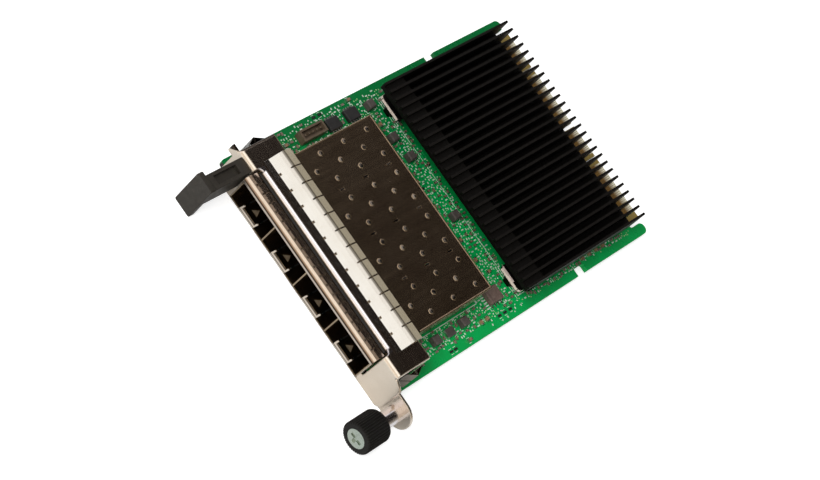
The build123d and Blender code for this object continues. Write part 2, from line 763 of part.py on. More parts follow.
with BuildPart() as pull_tab:
    with BuildSketch(Plane.XZ.offset(tab_reach)):
        with Locations((tongue_x - flap_shift, (flap_low + flap_high) / 2)):
            RectangleRounded(flap_width, flap_high - flap_low, flap_corner)
    extrude(amount=-flap_thickness)
    with BuildSketch(Plane.XZ.offset(tab_reach - flap_thickness)):
        with Locations((tongue_x, (arm_low + arm_high) / 2)):
            Rectangle(arm_width, arm_high - arm_low)
    extrude(amount=-(tab_reach - flap_thickness))
    with BuildSketch(Plane.XY.offset(arm_high + overrun)):
        with Locations((tongue_x, -(tab_reach - flap_thickness) / 2)):
            Rectangle(arm_width - 2 * arm_pocket_wall, arm_pocket_length)
    extrude(amount=-(overrun + arm_pocket_depth), mode=Mode.SUBTRACT)
    with BuildSketch(Plane.XZ):
        with Locations((tongue_x, tongue_z)):
            Rectangle(tongue_across, tongue_height)
    extrude(amount=-tongue_reach)
    with BuildSketch(Plane.XY.offset(tongue_z - tongue_height / 2 - overrun)):
        with Locations((tongue_x, cross_pin_y)):
            Circle(cross_pin_radius)
    extrude(amount=tongue_height + 2 * overrun, mode=Mode.SUBTRACT)
pull_tab.part.label = "pull_tab"
export_step(pull_tab.part, "parts/pull_tab.step")

with BuildPart() as pull_tab_pin:
    with BuildSketch(Plane.XY.offset(tongue_z - cross_pin_length / 2)):
        with Locations((tongue_x, cross_pin_y)):
            Circle(cross_pin_radius)
    extrude(amount=cross_pin_length)
pull_tab_pin.part.label = "pull_tab_pin"
export_step(pull_tab_pin.part, "parts/pull_tab_pin.step")

# Captive thumbscrew: barrel held in the ear, knob and screw that turn and push in, spring and washer
screw_diameter = 3.0
screw_tip = 1.6
barrel_outer = 5.0
barrel_front = -7.0
barrel_bore = 3.15
barrel_flange = 5.6
barrel_flange_thickness = 0.4
knob_diameter = 9.4
knob_front = -14.9
knob_rear = -6.2
knob_bore = 5.6
knob_bore_depth = 6.1
knob_shoulder = 0.9        # plain rounded end behind the knurls
knob_bevel = 0.6
knurl_count = 20
knurl_radius = 0.34
screw_head = 5.7
screw_head_thickness = 1.5
screw_cross = 1.0
screw_cross_span = 3.7
screw_cross_depth = 0.6
screw_point = 0.4
washer_thickness = 0.4
washer_outer = 5.0
washer_bore = 3.2
spring_wire = 0.4
spring_turns = 3.5
spring_runs = 28           # straight runs that make up the coil
spring_sides = 4
screw_axis = (screw_axis_x, screw_axis_z)
knob_web_rear = knob_rear - knob_bore_depth
washer_rear = knob_web_rear + washer_thickness
ear_rear = ear_front + bracket_sheet

with BuildPart() as thumb_barrel:
    with BuildSketch(Plane.XZ.offset(-barrel_front)):
        with Locations(screw_axis):
            Circle(barrel_outer / 2)
    extrude(amount=-(ear_front - barrel_front))
    with BuildSketch(Plane.XZ.offset(-ear_front)):
        with Locations(screw_axis):
            Circle(barrel_neck / 2)
    extrude(amount=-bracket_sheet)
    with BuildSketch(Plane.XZ.offset(-ear_rear)):
        with Locations(screw_axis):
            Circle(barrel_flange / 2)
    extrude(amount=-barrel_flange_thickness)
    with BuildSketch(Plane.XZ.offset(-barrel_front + overrun)):
        with Locations(screw_axis):
            Circle(barrel_bore / 2)
    extrude(amount=-(ear_rear - barrel_front + 2 * overrun), mode=Mode.SUBTRACT)
thumb_barrel.part.label = "thumb_barrel"
export_step(thumb_barrel.part, "parts/thumb_barrel.step")

with BuildPart() as thumb_knob:
    with BuildSketch(Plane.XZ.offset(-knob_front)):
        with Locations(screw_axis):
            Circle(knob_diameter / 2)
            with PolarLocations(knob_diameter / 2, knurl_count):
                RegularPolygon(knurl_radius, 4, mode=Mode.SUBTRACT)
    extrude(amount=-(knob_rear - knob_front - knob_shoulder))
    with BuildSketch(Plane.XZ.offset(knob_shoulder - knob_rear)):
        with Locations(screw_axis):
            Circle(knob_diameter / 2)
    extrude(amount=-knob_shoulder)
    chamfer(thumb_knob.edges().group_by(Axis.Y)[-1], knob_bevel)
    with BuildSketch(Plane.XZ.offset(-knob_rear - overrun)):
        with Locations(screw_axis):
            Circle(knob_bore / 2)
    extrude(amount=overrun + knob_bore_depth, mode=Mode.SUBTRACT)
    with BuildSketch(Plane.XZ.offset(-knob_front + overrun)):
        with Locations(screw_axis):
            Circle(screw_head / 2)
    extrude(amount=-(overrun + screw_head_thickness), mode=Mode.SUBTRACT)
    with BuildSketch(Plane.XZ.offset(-knob_front)):
        with Locations(screw_axis):
            Circle(screw_diameter / 2)
    extrude(amount=-(knob_rear - knob_front), mode=Mode.SUBTRACT)
thumb_knob.part.label = "thumb_knob"
export_step(thumb_knob.part, "parts/thumb_knob.step")

with BuildPart() as thumb_screw:
    with BuildSketch(Plane.XZ.offset(-knob_front)):
        with Locations(screw_axis):
            Circle(screw_head / 2)
    extrude(amount=-screw_head_thickness)
    with BuildSketch(Plane.XZ.offset(-knob_front)):
        with Locations(screw_axis):
            Circle(screw_diameter / 2)
    extrude(amount=-(screw_tip - knob_front))
    chamfer(thumb_screw.edges().group_by(Axis.Y)[-1], screw_point)
    with BuildSketch(Plane.XZ.offset(-knob_front + overrun)):
        with Locations(screw_axis):
            Rectangle(screw_cross, screw_cross_span)
            Rectangle(screw_cross_span, screw_cross)
    extrude(amount=-(overrun + screw_cross_depth), mode=Mode.SUBTRACT)
thumb_screw.part.label = "thumb_screw"
export_step(thumb_screw.part, "parts/thumb_screw.step")

with BuildPart() as thumb_washer:
    with BuildSketch(Plane.XZ.offset(-knob_web_rear)):
        with Locations(screw_axis):
            Circle(washer_outer / 2)
            Circle(washer_bore / 2, mode=Mode.SUBTRACT)
    extrude(amount=-washer_thickness)
thumb_washer.part.label = "thumb_washer"
export_step(thumb_washer.part, "parts/thumb_washer.step")

spring_length = barrel_front - washer_rear - spring_wire
spring_radius = (barrel_outer - spring_wire) / 2 - fit_gap
coil_points = [
    (
        screw_axis_x + spring_radius * cos(2 * pi * spring_turns * i / spring_runs),
        washer_rear + spring_wire / 2 + spring_length * i / spring_runs,
        screw_axis_z + spring_radius * sin(2 * pi * spring_turns * i / spring_runs),
    )
    for i in range(spring_runs + 1)
]
with BuildPart() as thumb_spring:
    with BuildLine() as coil:
        Polyline(*coil_points)
    with BuildSketch(Plane(origin=coil.line @ 0, z_dir=coil.line % 0)):
        RegularPolygon(spring_wire / 2, spring_sides)
    sweep(transition=Transition.RIGHT)
thumb_spring.part.label = "thumb_spring"
export_step(thumb_spring.part, "parts/thumb_spring.step")

# Small parts soldered on the board, in three strips: beside the cage, behind it, and beside the fins
cage_strip = (board_front, cage_rear)
gap_strip = (cage_rear, sink_front)
sink_strip = (sink_front, sink_rear)


def board_places(strip, shares):
    """Points in a strip of the board from shares of the half width (X) and of the strip's length (Y)."""
    start, end = strip
    return [(across * card_width / 2, start + along * (end - start)) for across, along in shares]


inductor_side = 2.6
inductor_height = 2.2
inductor_bevel = 0.3
inductor_gap_shares = ((-0.86, 0.99), (-0.566, 0.99), (-0.384, 1.12), (0.15, 1.19))
inductor_side_shares = ((0.832, 0.824), (0.837, 0.554))
inductor_places = [
    *board_places(gap_strip, inductor_gap_shares),
    *board_places(cage_strip, inductor_side_shares),
]
with BuildPart() as power_inductors:
    with BuildSketch(Plane.XY.offset(board_top)):
        with Locations(*inductor_places):
            Rectangle(inductor_side, inductor_side)
    extrude(amount=inductor_height)
    chamfer(power_inductors.edges().group_by(Axis.Z)[-1], inductor_bevel)
power_inductors.part.label = "power_inductors"
export_step(power_inductors.part, "parts/power_inductors.step")

flash_width = 5.0
flash_length = 4.4
flash_height = 1.7
flash_standoff = 0.1
lead_pitch = 1.27
lead_width = 0.42
lead_reach = 1.0
lead_sheet = 0.2
lead_count = 4
flash_x, flash_y = board_places(gap_strip, ((0.779, 0.66),))[0]
with BuildPart() as flash_chip:
    with BuildSketch(Plane.XY.offset(board_top + flash_standoff)):
        with Locations((flash_x, flash_y)):
            Rectangle(flash_length, flash_width)
    extrude(amount=flash_height)
    chamfer(flash_chip.edges().group_by(Axis.Z)[-1], lead_sheet)
flash_chip.part.label = "flash_chip"
export_step(flash_chip.part, "parts/flash_chip.step")

with BuildPart() as flash_chip_leads:
    for side in sides:
        edge_x = flash_x + side * flash_length / 2
        foot_x = edge_x + side * lead_reach
        with BuildSketch(Plane.XY.offset(board_top)):
            with Locations(((edge_x + foot_x) / 2, flash_y)):
                with GridLocations(lead_pitch, lead_pitch, 1, lead_count):
                    Rectangle(lead_reach, lead_width)
        extrude(amount=lead_sheet)
        with BuildSketch(Plane.XY.offset(board_top)):
            with Locations((edge_x + side * lead_sheet / 2, flash_y)):
                with GridLocations(lead_pitch, lead_pitch, 1, lead_count):
                    Rectangle(lead_sheet, lead_width)
        extrude(amount=flash_height / 2)
flash_chip_leads.part.label = "flash_chip_leads"
export_step(flash_chip_leads.part, "parts/flash_chip_leads.step")

regulator_width = 3.6
regulator_length = 4.6
regulator_height = 1.3
regulator_pin_pitch = 0.95
regulator_pin_count = 4
regulator_pin_reach = 0.6
regulator_places = board_places(cage_strip, ((-0.862, 0.888), (-0.862, 1.06)))
with BuildPart() as regulators:
    with BuildSketch(Plane.XY.offset(board_top)):
        with Locations(*regulator_places):
            Rectangle(regulator_width, regulator_length)
    extrude(amount=regulator_height)
    chamfer(regulators.edges().group_by(Axis.Z)[-1], lead_sheet)
regulators.part.label = "regulators"
export_step(regulators.part, "parts/regulators.step")

with BuildPart() as regulator_pins:
    pin_shift = (regulator_width + regulator_pin_reach) / 2
    with BuildSketch(Plane.XY.offset(board_top)):
        with Locations(*[(x + side * pin_shift, y) for x, y in regulator_places for side in sides]):
            with GridLocations(regulator_pin_pitch, regulator_pin_pitch, 1, regulator_pin_count):
                Rectangle(regulator_pin_reach, lead_width)
    extrude(amount=regulator_height / 2)
regulator_pins.part.label = "regulator_pins"
export_step(regulator_pins.part, "parts/regulator_pins.step")

socket_width = 3.4
socket_length = 9.0
socket_height = 2.6
socket_wall = 0.6
socket_depth = 1.8
socket_pin = 0.5
socket_pin_count = 5
socket_pin_pitch = 1.5
socket_pin_rise = 1.4
socket_place = board_places(cage_strip, ((-0.874, 0.689),))[0]
with BuildPart() as side_connector:
    with BuildSketch(Plane.XY.offset(board_top)):
        with Locations(socket_place):
            Rectangle(socket_width, socket_length)
    extrude(amount=socket_height)
    with BuildSketch(Plane.XY.offset(board_top + socket_height + overrun)):
        with Locations(socket_place):
            Rectangle(socket_width - 2 * socket_wall, socket_length - 2 * socket_wall)
    extrude(amount=-(overrun + socket_depth), mode=Mode.SUBTRACT)
    with BuildSketch(Plane.XY.offset(board_top + socket_height - socket_depth)):
        with Locations(socket_place):
            with GridLocations(socket_pin_pitch, socket_pin_pitch, 1, socket_pin_count):
                Rectangle(socket_pin, socket_pin)
    extrude(amount=socket_pin_rise)
side_connector.part.label = "side_connector"
export_step(side_connector.part, "parts/side_connector.step")

oscillator_width = 2.5
oscillator_length = 3.2
oscillator_height = 0.9
oscillator_round = 0.3
with BuildPart() as oscillator:
    with BuildSketch(Plane.XY.offset(board_top)):
        with Locations(*board_places(cage_strip, ((0.84, 0.694),))):
            RectangleRounded(oscillator_width, oscillator_length, oscillator_round)
    extrude(amount=oscillator_height)
oscillator.part.label = "oscillator"
export_step(oscillator.part, "parts/oscillator.step")

# Ceramic capacitors: each a block between two end caps
capacitor_width = 0.8
capacitor_block = 0.9
capacitor_cap = 0.35
capacitor_height = 0.8
cap_shift = (capacitor_block + capacitor_cap) / 2
across_gap_shares = (
    (-0.2, 0.61), (-0.2, 0.82), (0.02, 0.61), (0.02, 0.82), (0.32, 0.9),
    (0.5, 0.73), (0.5, 0.94), (-0.7, 0.73), (-0.7, 0.94), (-0.44, 0.5),
)
across_cage_shares = (
    (0.9, 0.954), (0.9, 1.01), (0.92, 0.318), (0.92, 0.37), (-0.93, 0.318), (-0.93, 0.37),
)
across_sink_shares = ((0.903, 0.62), (0.903, 0.68), (0.903, 0.74), (0.903, 0.8))
along_gap_shares = (
    (-0.29, 0.73), (-0.25, 0.73), (-0.08, 0.5), (0.11, 0.5), (0.24, 0.67),
    (0.42, 0.5), (0.62, 1.08), (-0.62, 0.5),
)
along_cage_shares = (
    (0.8, 0.437), (0.85, 0.437), (-0.82, 0.477), (-0.88, 0.477),
    (0.96, 0.795), (-0.97, 1.11),
)
across_places = [
    *board_places(gap_strip, across_gap_shares),
    *board_places(cage_strip, across_cage_shares),
    *board_places(sink_strip, across_sink_shares),
]
along_places = board_places(gap_strip, along_gap_shares) + board_places(cage_strip, along_cage_shares)
with BuildPart() as capacitors:
    with BuildSketch(Plane.XY.offset(board_top)):
        with Locations(*across_places):
            Rectangle(capacitor_block, capacitor_width)
        with Locations(*along_places):
            Rectangle(capacitor_width, capacitor_block)
    extrude(amount=capacitor_height)
capacitors.part.label = "capacitors"
export_step(capacitors.part, "parts/capacitors.step")

with BuildPart() as capacitor_ends:
    with BuildSketch(Plane.XY.offset(board_top)):
        with Locations(*[(x + side * cap_shift, y) for x, y in across_places for side in sides]):
            Rectangle(capacitor_cap, capacitor_width)
        with Locations(*[(x, y + side * cap_shift) for x, y in along_places for side in sides]):
            Rectangle(capacitor_width, capacitor_cap)
    extrude(amount=capacitor_height)
capacitor_ends.part.label = "capacitor_ends"
export_step(capacitor_ends.part, "parts/capacitor_ends.step")

resistor_width = 0.6
resistor_length = 1.1
resistor_height = 0.4
resistor_gap_shares = (
    (-0.33, 0.5), (-0.33, 0.63), (-0.14, 0.73), (-0.14, 0.87), (0.2, 0.55), (0.28, 0.5), (0.36, 0.67),
    (0.56, 0.5), (0.6, 0.61), (0.6, 0.75), (-0.76, 0.61), (-0.76, 0.75), (-0.5, 0.73),
    (0.93, 0.5), (0.93, 0.73), (0.93, 0.96),
)
resistor_cage_shares = ((0.96, 0.663), (0.96, 0.623), (-0.97, 0.795), (-0.97, 0.848))
resistor_places = [
    *board_places(gap_strip, resistor_gap_shares),
    *board_places(cage_strip, resistor_cage_shares),
]
with BuildPart() as resistors:
    with BuildSketch(Plane.XY.offset(board_top)):
        with Locations(*resistor_places):
            Rectangle(resistor_width, resistor_length)
    extrude(amount=resistor_height)
resistors.part.label = "resistors"
export_step(resistors.part, "parts/resistors.step")

# Capacitors under the controller, on the board's underside
under_rows = 4
under_pitch = 3.0
under_height = 0.5
with BuildPart() as bottom_capacitors:
    with BuildSketch(Plane.XY.offset(board_under - under_height)):
        with Locations((0, chip_y)):
            with GridLocations(under_pitch, under_pitch, under_rows, under_rows):
                Rectangle(resistor_length, resistor_width)
    extrude(amount=under_height)
bottom_capacitors.part.label = "bottom_capacitors"
export_step(bottom_capacitors.part, "parts/bottom_capacitors.step")
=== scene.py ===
import json
import math

import bpy
import numpy as np
from mathutils import Matrix, Vector


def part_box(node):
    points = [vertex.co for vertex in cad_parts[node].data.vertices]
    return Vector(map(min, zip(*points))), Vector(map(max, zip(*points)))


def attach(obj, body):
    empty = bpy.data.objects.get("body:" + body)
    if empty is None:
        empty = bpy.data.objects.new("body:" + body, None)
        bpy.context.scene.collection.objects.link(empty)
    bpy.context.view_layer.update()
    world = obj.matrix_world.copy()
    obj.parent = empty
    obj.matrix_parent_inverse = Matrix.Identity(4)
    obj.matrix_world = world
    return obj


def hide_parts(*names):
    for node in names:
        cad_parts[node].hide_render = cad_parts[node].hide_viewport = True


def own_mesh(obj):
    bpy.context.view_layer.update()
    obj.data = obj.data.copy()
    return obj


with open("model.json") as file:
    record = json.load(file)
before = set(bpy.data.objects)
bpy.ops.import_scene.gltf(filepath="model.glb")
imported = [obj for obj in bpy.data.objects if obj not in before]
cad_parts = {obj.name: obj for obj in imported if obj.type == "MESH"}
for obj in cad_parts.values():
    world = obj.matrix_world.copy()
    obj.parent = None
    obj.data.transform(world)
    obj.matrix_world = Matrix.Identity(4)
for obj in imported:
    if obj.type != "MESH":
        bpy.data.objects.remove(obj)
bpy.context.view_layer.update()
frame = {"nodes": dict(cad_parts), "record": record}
nodes = frame["nodes"]
scene = bpy.context.scene
MM = 0.001

# Layout of shader nodes in the editor
NODE_STEP = (200, 180)

# Clouds, wear and grain on the surfaces: noise scales in cycles per metre, depths in metres
METAL_CLOUD, METAL_WEAR, METAL_GRAIN = 120.0, 500.0, 4000.0
MOULDED_WEAR, MOULDED_GRAIN = 700.0, 5000.0
INK_CLOUD, INK_GRAIN = 1500.0, 6000.0
GRAIN_DEPTH, STREAK_DEPTH = 0.00005, 0.00003
PATCH_SCALE, PATCH_CONTRAST = 260.0, 6.0


# Colours are written as 8-bit sRGB and turned into linear light


def rgb(r, g, b):
    """The linear RGBA of an 8-bit sRGB colour."""
    linear = []
    for channel in (r, g, b):
        c = channel / 255
        linear.append(c / 12.92 if c <= 0.04045 else ((c + 0.055) / 1.055) ** 2.4)
    return (*linear, 1.0)


def node(tree, kind, place, inputs=None, **settings):
    """A shader node at a place in the editor, with its settings and unlinked inputs."""
    made = tree.nodes.new(kind)
    made.location = (place[0] * NODE_STEP[0], place[1] * NODE_STEP[1])
    for name, value in settings.items():
        setattr(made, name, value)
    for name, value in (inputs or {}).items():
        socket = made.inputs[name]
        if isinstance(value, bpy.types.NodeSocket):
            tree.links.new(value, socket)
        else:
            socket.default_value = value
    return made


def ramp(tree, place, factor, stops):
    """A colour ramp node through the given (position, colour) stops."""
    made = node(tree, "ShaderNodeValToRGB", place, {"Fac": factor})
    elements = made.color_ramp.elements
    elements[0].position, elements[0].color = stops[0]
    elements[1].position, elements[1].color = stops[-1]
    for position, colour in stops[1:-1]:
        elements.new(position).color = colour
    return made


def grey(level):
    """A linear grey of that level."""
    return (level, level, level, 1.0)


# Shared effects as node groups


def new_group(name, inputs, outputs):
    """An empty shader node group with sockets as (name, type, default)."""
    group = bpy.data.node_groups.new(name, "ShaderNodeTree")
    for label, kind, default in inputs:
        socket = group.interface.new_socket(label, in_out="INPUT", socket_type=kind)
        if default is not None:
            socket.default_value = default
    for label, kind in outputs:
        group.interface.new_socket(label, in_out="OUTPUT", socket_type=kind)
    start = group.nodes.new("NodeGroupInput")
    end = group.nodes.new("NodeGroupOutput")
    start.location, end.location = (-800, 0), (1200, 0)
    return group, start, end


def make_tint_group():
    """Two tones of one colour mixed by cloudy noise, and the noise itself."""
    group, start, end = new_group(
        "cloudy_tint",
        [
            ("Base", "NodeSocketColor", grey(0.5)),
            ("Other", "NodeSocketColor", grey(0.4)),
            ("Scale", "NodeSocketFloat", 300.0),
            ("Contrast", "NodeSocketFloat", 1.0),
        ],
        [("Color", "NodeSocketColor"), ("Cloud", "NodeSocketFloat")],
    )
    place = node(group, "ShaderNodeTexCoord", (-3, 2))
    cloud = node(
        group, "ShaderNodeTexNoise", (-2, 1),
        {"Vector": place.outputs["Object"], "Scale": start.outputs["Scale"], "Detail": 5.0, "Roughness": 0.6},
    )
    centred = node(
        group, "ShaderNodeMath", (-1, 1), {0: cloud.outputs["Fac"], 1: 0.5}, operation="SUBTRACT",
    )
    stretched = node(
        group, "ShaderNodeMath", (0, 1),
        {0: centred.outputs[0], 1: start.outputs["Contrast"], 2: 0.5},
        operation="MULTIPLY_ADD", use_clamp=True,
    )
    mixed = node(
        group, "ShaderNodeMix", (1, 1),
        {"Factor": stretched.outputs[0], 6: start.outputs["Base"], 7: start.outputs["Other"]},
        data_type="RGBA",
    )
    group.links.new(mixed.outputs[2], end.inputs["Color"])
    group.links.new(stretched.outputs[0], end.inputs["Cloud"])
    return group


def make_grain_group():
    """A normal with softened edges and fine grain on it."""
    group, start, end = new_group(
        "grain_normal",
        [
            ("Scale", "NodeSocketFloat", 3000.0),
            ("Strength", "NodeSocketFloat", 0.1),
            ("Edge", "NodeSocketFloat", 0.0001),
        ],
        [("Normal", "NodeSocketVector"), ("Grain", "NodeSocketFloat")],
    )
    place = node(group, "ShaderNodeTexCoord", (-3, 1))
    noise = node(
        group, "ShaderNodeTexNoise", (-2, 1),
        {"Vector": place.outputs["Object"], "Scale": start.outputs["Scale"], "Detail": 3.0, "Roughness": 0.5},
    )
    soft = node(group, "ShaderNodeBevel", (-1, -1), {"Radius": start.outputs["Edge"]}, samples=4)
    bump = node(
        group, "ShaderNodeBump", (0, 0),
        {
            "Strength": start.outputs["Strength"], "Distance": GRAIN_DEPTH,
            "Height": noise.outputs["Fac"], "Normal": soft.outputs["Normal"],
        },
    )
    group.links.new(bump.outputs["Normal"], end.inputs["Normal"])
    group.links.new(noise.outputs["Fac"], end.inputs["Grain"])
    return group


def make_streak_group():
    """Rolling streaks: noise stretched along one axis by the Stretch vector."""
    group, start, end = new_group(
        "rolled_streaks",
        [
            ("Stretch", "NodeSocketVector", (1.0, 1.0, 1.0)),
            ("Scale", "NodeSocketFloat", 900.0),
        ],
        [("Streak", "NodeSocketFloat")],
    )
    place = node(group, "ShaderNodeTexCoord", (-3, 1))
    stretch = node(
        group, "ShaderNodeVectorMath", (-2, 1),
        {0: place.outputs["Object"], 1: start.outputs["Stretch"]}, operation="MULTIPLY",
    )
    noise = node(
        group, "ShaderNodeTexNoise", (-1, 1),
        {
            "Vector": stretch.outputs["Vector"], "Scale": start.outputs["Scale"],
            "Detail": 4.0, "Roughness": 0.65,
        },
    )
    group.links.new(noise.outputs["Fac"], end.inputs["Streak"])
    return group


def make_fade_group():
    """A mask: 0 to 1 as the place along an axis goes from Start to End, 0 where |x| is over Half."""
    group, start, end = new_group(
        "fade_along",
        [
            ("Axis", "NodeSocketVector", (0.0, 1.0, 0.0)),
            ("Start", "NodeSocketFloat", 0.0),
            ("End", "NodeSocketFloat", 1.0),
            ("Half", "NodeSocketFloat", 1.0),
        ],
        [("Mask", "NodeSocketFloat")],
    )
    place = node(group, "ShaderNodeTexCoord", (-4, 1))
    along = node(
        group, "ShaderNodeVectorMath", (-3, 1),
        {0: place.outputs["Object"], 1: start.outputs["Axis"]}, operation="DOT_PRODUCT",
    )
    rise = node(
        group, "ShaderNodeMapRange", (-2, 1),
        {
            "Value": along.outputs["Value"],
            "From Min": start.outputs["Start"], "From Max": start.outputs["End"],
            "To Min": 0.0, "To Max": 1.0,
        },
    )
    axes = node(group, "ShaderNodeSeparateXYZ", (-3, -1), {"Vector": place.outputs["Object"]})
    aside = node(group, "ShaderNodeMath", (-2, -1), {0: axes.outputs["X"]}, operation="ABSOLUTE")
    inside = node(
        group, "ShaderNodeMath", (-1, -1), {0: aside.outputs[0], 1: start.outputs["Half"]},
        operation="LESS_THAN",
    )
    both = node(
        group, "ShaderNodeMath", (0, 0), {0: rise.outputs[0], 1: inside.outputs[0]}, operation="MULTIPLY",
    )
    group.links.new(both.outputs[0], end.inputs["Mask"])
    return group


def make_wear_group():
    """Sparse marks: scratches and rubbed spots, 0 where clean and 1 where worn."""
    group, start, end = new_group(
        "wear_marks",
        [
            ("Scale", "NodeSocketFloat", 600.0),
            ("Amount", "NodeSocketFloat", 0.5),
        ],
        [("Mask", "NodeSocketFloat")],
    )
    place = node(group, "ShaderNodeTexCoord", (-4, 1))
    spread = node(
        group, "ShaderNodeTexNoise", (-3, 0),
        {"Vector": place.outputs["Object"], "Scale": start.outputs["Scale"], "Detail": 6.0, "Roughness": 0.7},
    )
    scratch = node(
        group, "ShaderNodeTexVoronoi", (-3, 2),
        {"Vector": place.outputs["Object"], "Scale": start.outputs["Scale"], "Randomness": 1.0},
        feature="DISTANCE_TO_EDGE",
    )
    thin = node(
        group, "ShaderNodeMapRange", (-2, 2),
        {
            "Value": scratch.outputs["Distance"], "From Min": 0.0, "From Max": 0.02,
            "To Min": 1.0, "To Max": 0.0,
        },
    )
    patch = node(
        group, "ShaderNodeMapRange", (-2, 0),
        {"Value": spread.outputs["Fac"], "From Min": 0.55, "From Max": 0.75, "To Min": 0.0, "To Max": 1.0},
    )
    both = node(
        group, "ShaderNodeMath", (-1, 1), {0: thin.outputs[0], 1: patch.outputs[0]}, operation="MULTIPLY",
    )
    sum_up = node(
        group, "ShaderNodeMath", (0, 1), {0: both.outputs[0], 1: patch.outputs[0]}, operation="ADD",
    )
    scaled = node(
        group, "ShaderNodeMath", (1, 1),
        {0: sum_up.outputs[0], 1: start.outputs["Amount"]}, operation="MULTIPLY", use_clamp=True,
    )
    group.links.new(scaled.outputs[0], end.inputs["Mask"])
    return group


# The materials place instances of these five groups
GROUPS = {
    "tint": make_tint_group(),
    "grain": make_grain_group(),
    "streak": make_streak_group(),
    "wear": make_wear_group(),
    "fade": make_fade_group(),
}


def use(tree, name, place, **inputs):
    """An instance of one of the shared groups with its inputs set or linked."""
    made = node(tree, "ShaderNodeGroup", place, node_tree=GROUPS[name])
    for label, value in inputs.items():
        socket = made.inputs[label]
        if isinstance(value, bpy.types.NodeSocket):
            tree.links.new(value, socket)
        else:
            socket.default_value = value
    return made


def new_material(name):
    """A material with an empty tree, its Principled shader and its output."""
    material = bpy.data.materials.new(name)
    material.use_nodes = True
    tree = material.node_tree
    tree.nodes.clear()
    shader = node(tree, "ShaderNodeBsdfPrincipled", (3, 0))
    out = node(tree, "ShaderNodeOutputMaterial", (5, 0))
    tree.links.new(shader.outputs["BSDF"], out.inputs["Surface"])
    return material, tree, shader


def spread_of(tree, place, value, low, high):
    """A value from 0 to 1 mapped to the range low to high."""
    return node(
        tree, "ShaderNodeMapRange", place,
        {"Value": value, "From Min": 0.0, "From Max": 1.0, "To Min": low, "To Max": high},
    ).outputs["Result"]


def make_metal(name, base, other, rough, stretch, streak_scale, edge, worn, wear=0.3, bump=0.06):
    """Sheet metal: two tones, rolling streaks in its gloss, worn marks."""
    material, tree, shader = new_material(name)
    tint = use(tree, "tint", (-2, 2), Base=rgb(*base), Other=rgb(*other), Scale=METAL_CLOUD, Contrast=1.6)
    marks = use(tree, "wear", (-2, 0), Scale=METAL_WEAR, Amount=wear)
    streak = use(tree, "streak", (-2, -1), Stretch=stretch, Scale=streak_scale)
    colour = node(
        tree, "ShaderNodeMix", (0, 2),
        {"Factor": marks.outputs["Mask"], 6: tint.outputs["Color"], 7: rgb(*worn)}, data_type="RGBA",
    )
    grain = use(tree, "grain", (-1, -2), Scale=METAL_GRAIN, Strength=bump, Edge=edge)
    relief = node(
        tree, "ShaderNodeBump", (1, -2),
        {
            "Strength": bump, "Distance": STREAK_DEPTH,
            "Height": streak.outputs["Streak"], "Normal": grain.outputs["Normal"],
        },
    )
    gloss = spread_of(tree, (0, -1), streak.outputs["Streak"], rough[0], rough[1])
    tree.links.new(colour.outputs[2], shader.inputs["Base Color"])
    tree.links.new(gloss, shader.inputs["Roughness"])
    tree.links.new(relief.outputs["Normal"], shader.inputs["Normal"])
    shader.inputs["Metallic"].default_value = 1.0
    return material


def make_moulded(name, base, other, rough, scale, edge, worn, wear=0.25, bump=0.15, specular=0.5):
    """Moulded plastic, rubber or ceramic: cloudy tone, grain and rubbed marks."""
    material, tree, shader = new_material(name)
    tint = use(tree, "tint", (-2, 2), Base=rgb(*base), Other=rgb(*other), Scale=scale, Contrast=1.8)
    marks = use(tree, "wear", (-2, 0), Scale=MOULDED_WEAR, Amount=wear)
    colour = node(
        tree, "ShaderNodeMix", (0, 2),
        {"Factor": marks.outputs["Mask"], 6: tint.outputs["Color"], 7: rgb(*worn)}, data_type="RGBA",
    )
    grain = use(tree, "grain", (-1, -2), Scale=MOULDED_GRAIN, Strength=bump, Edge=edge)
    gloss = spread_of(tree, (0, -1), tint.outputs["Cloud"], rough[0], rough[1])
    tree.links.new(colour.outputs[2], shader.inputs["Base Color"])
    tree.links.new(gloss, shader.inputs["Roughness"])
    tree.links.new(grain.outputs["Normal"], shader.inputs["Normal"])
    shader.inputs["Specular IOR Level"].default_value = specular
    return material


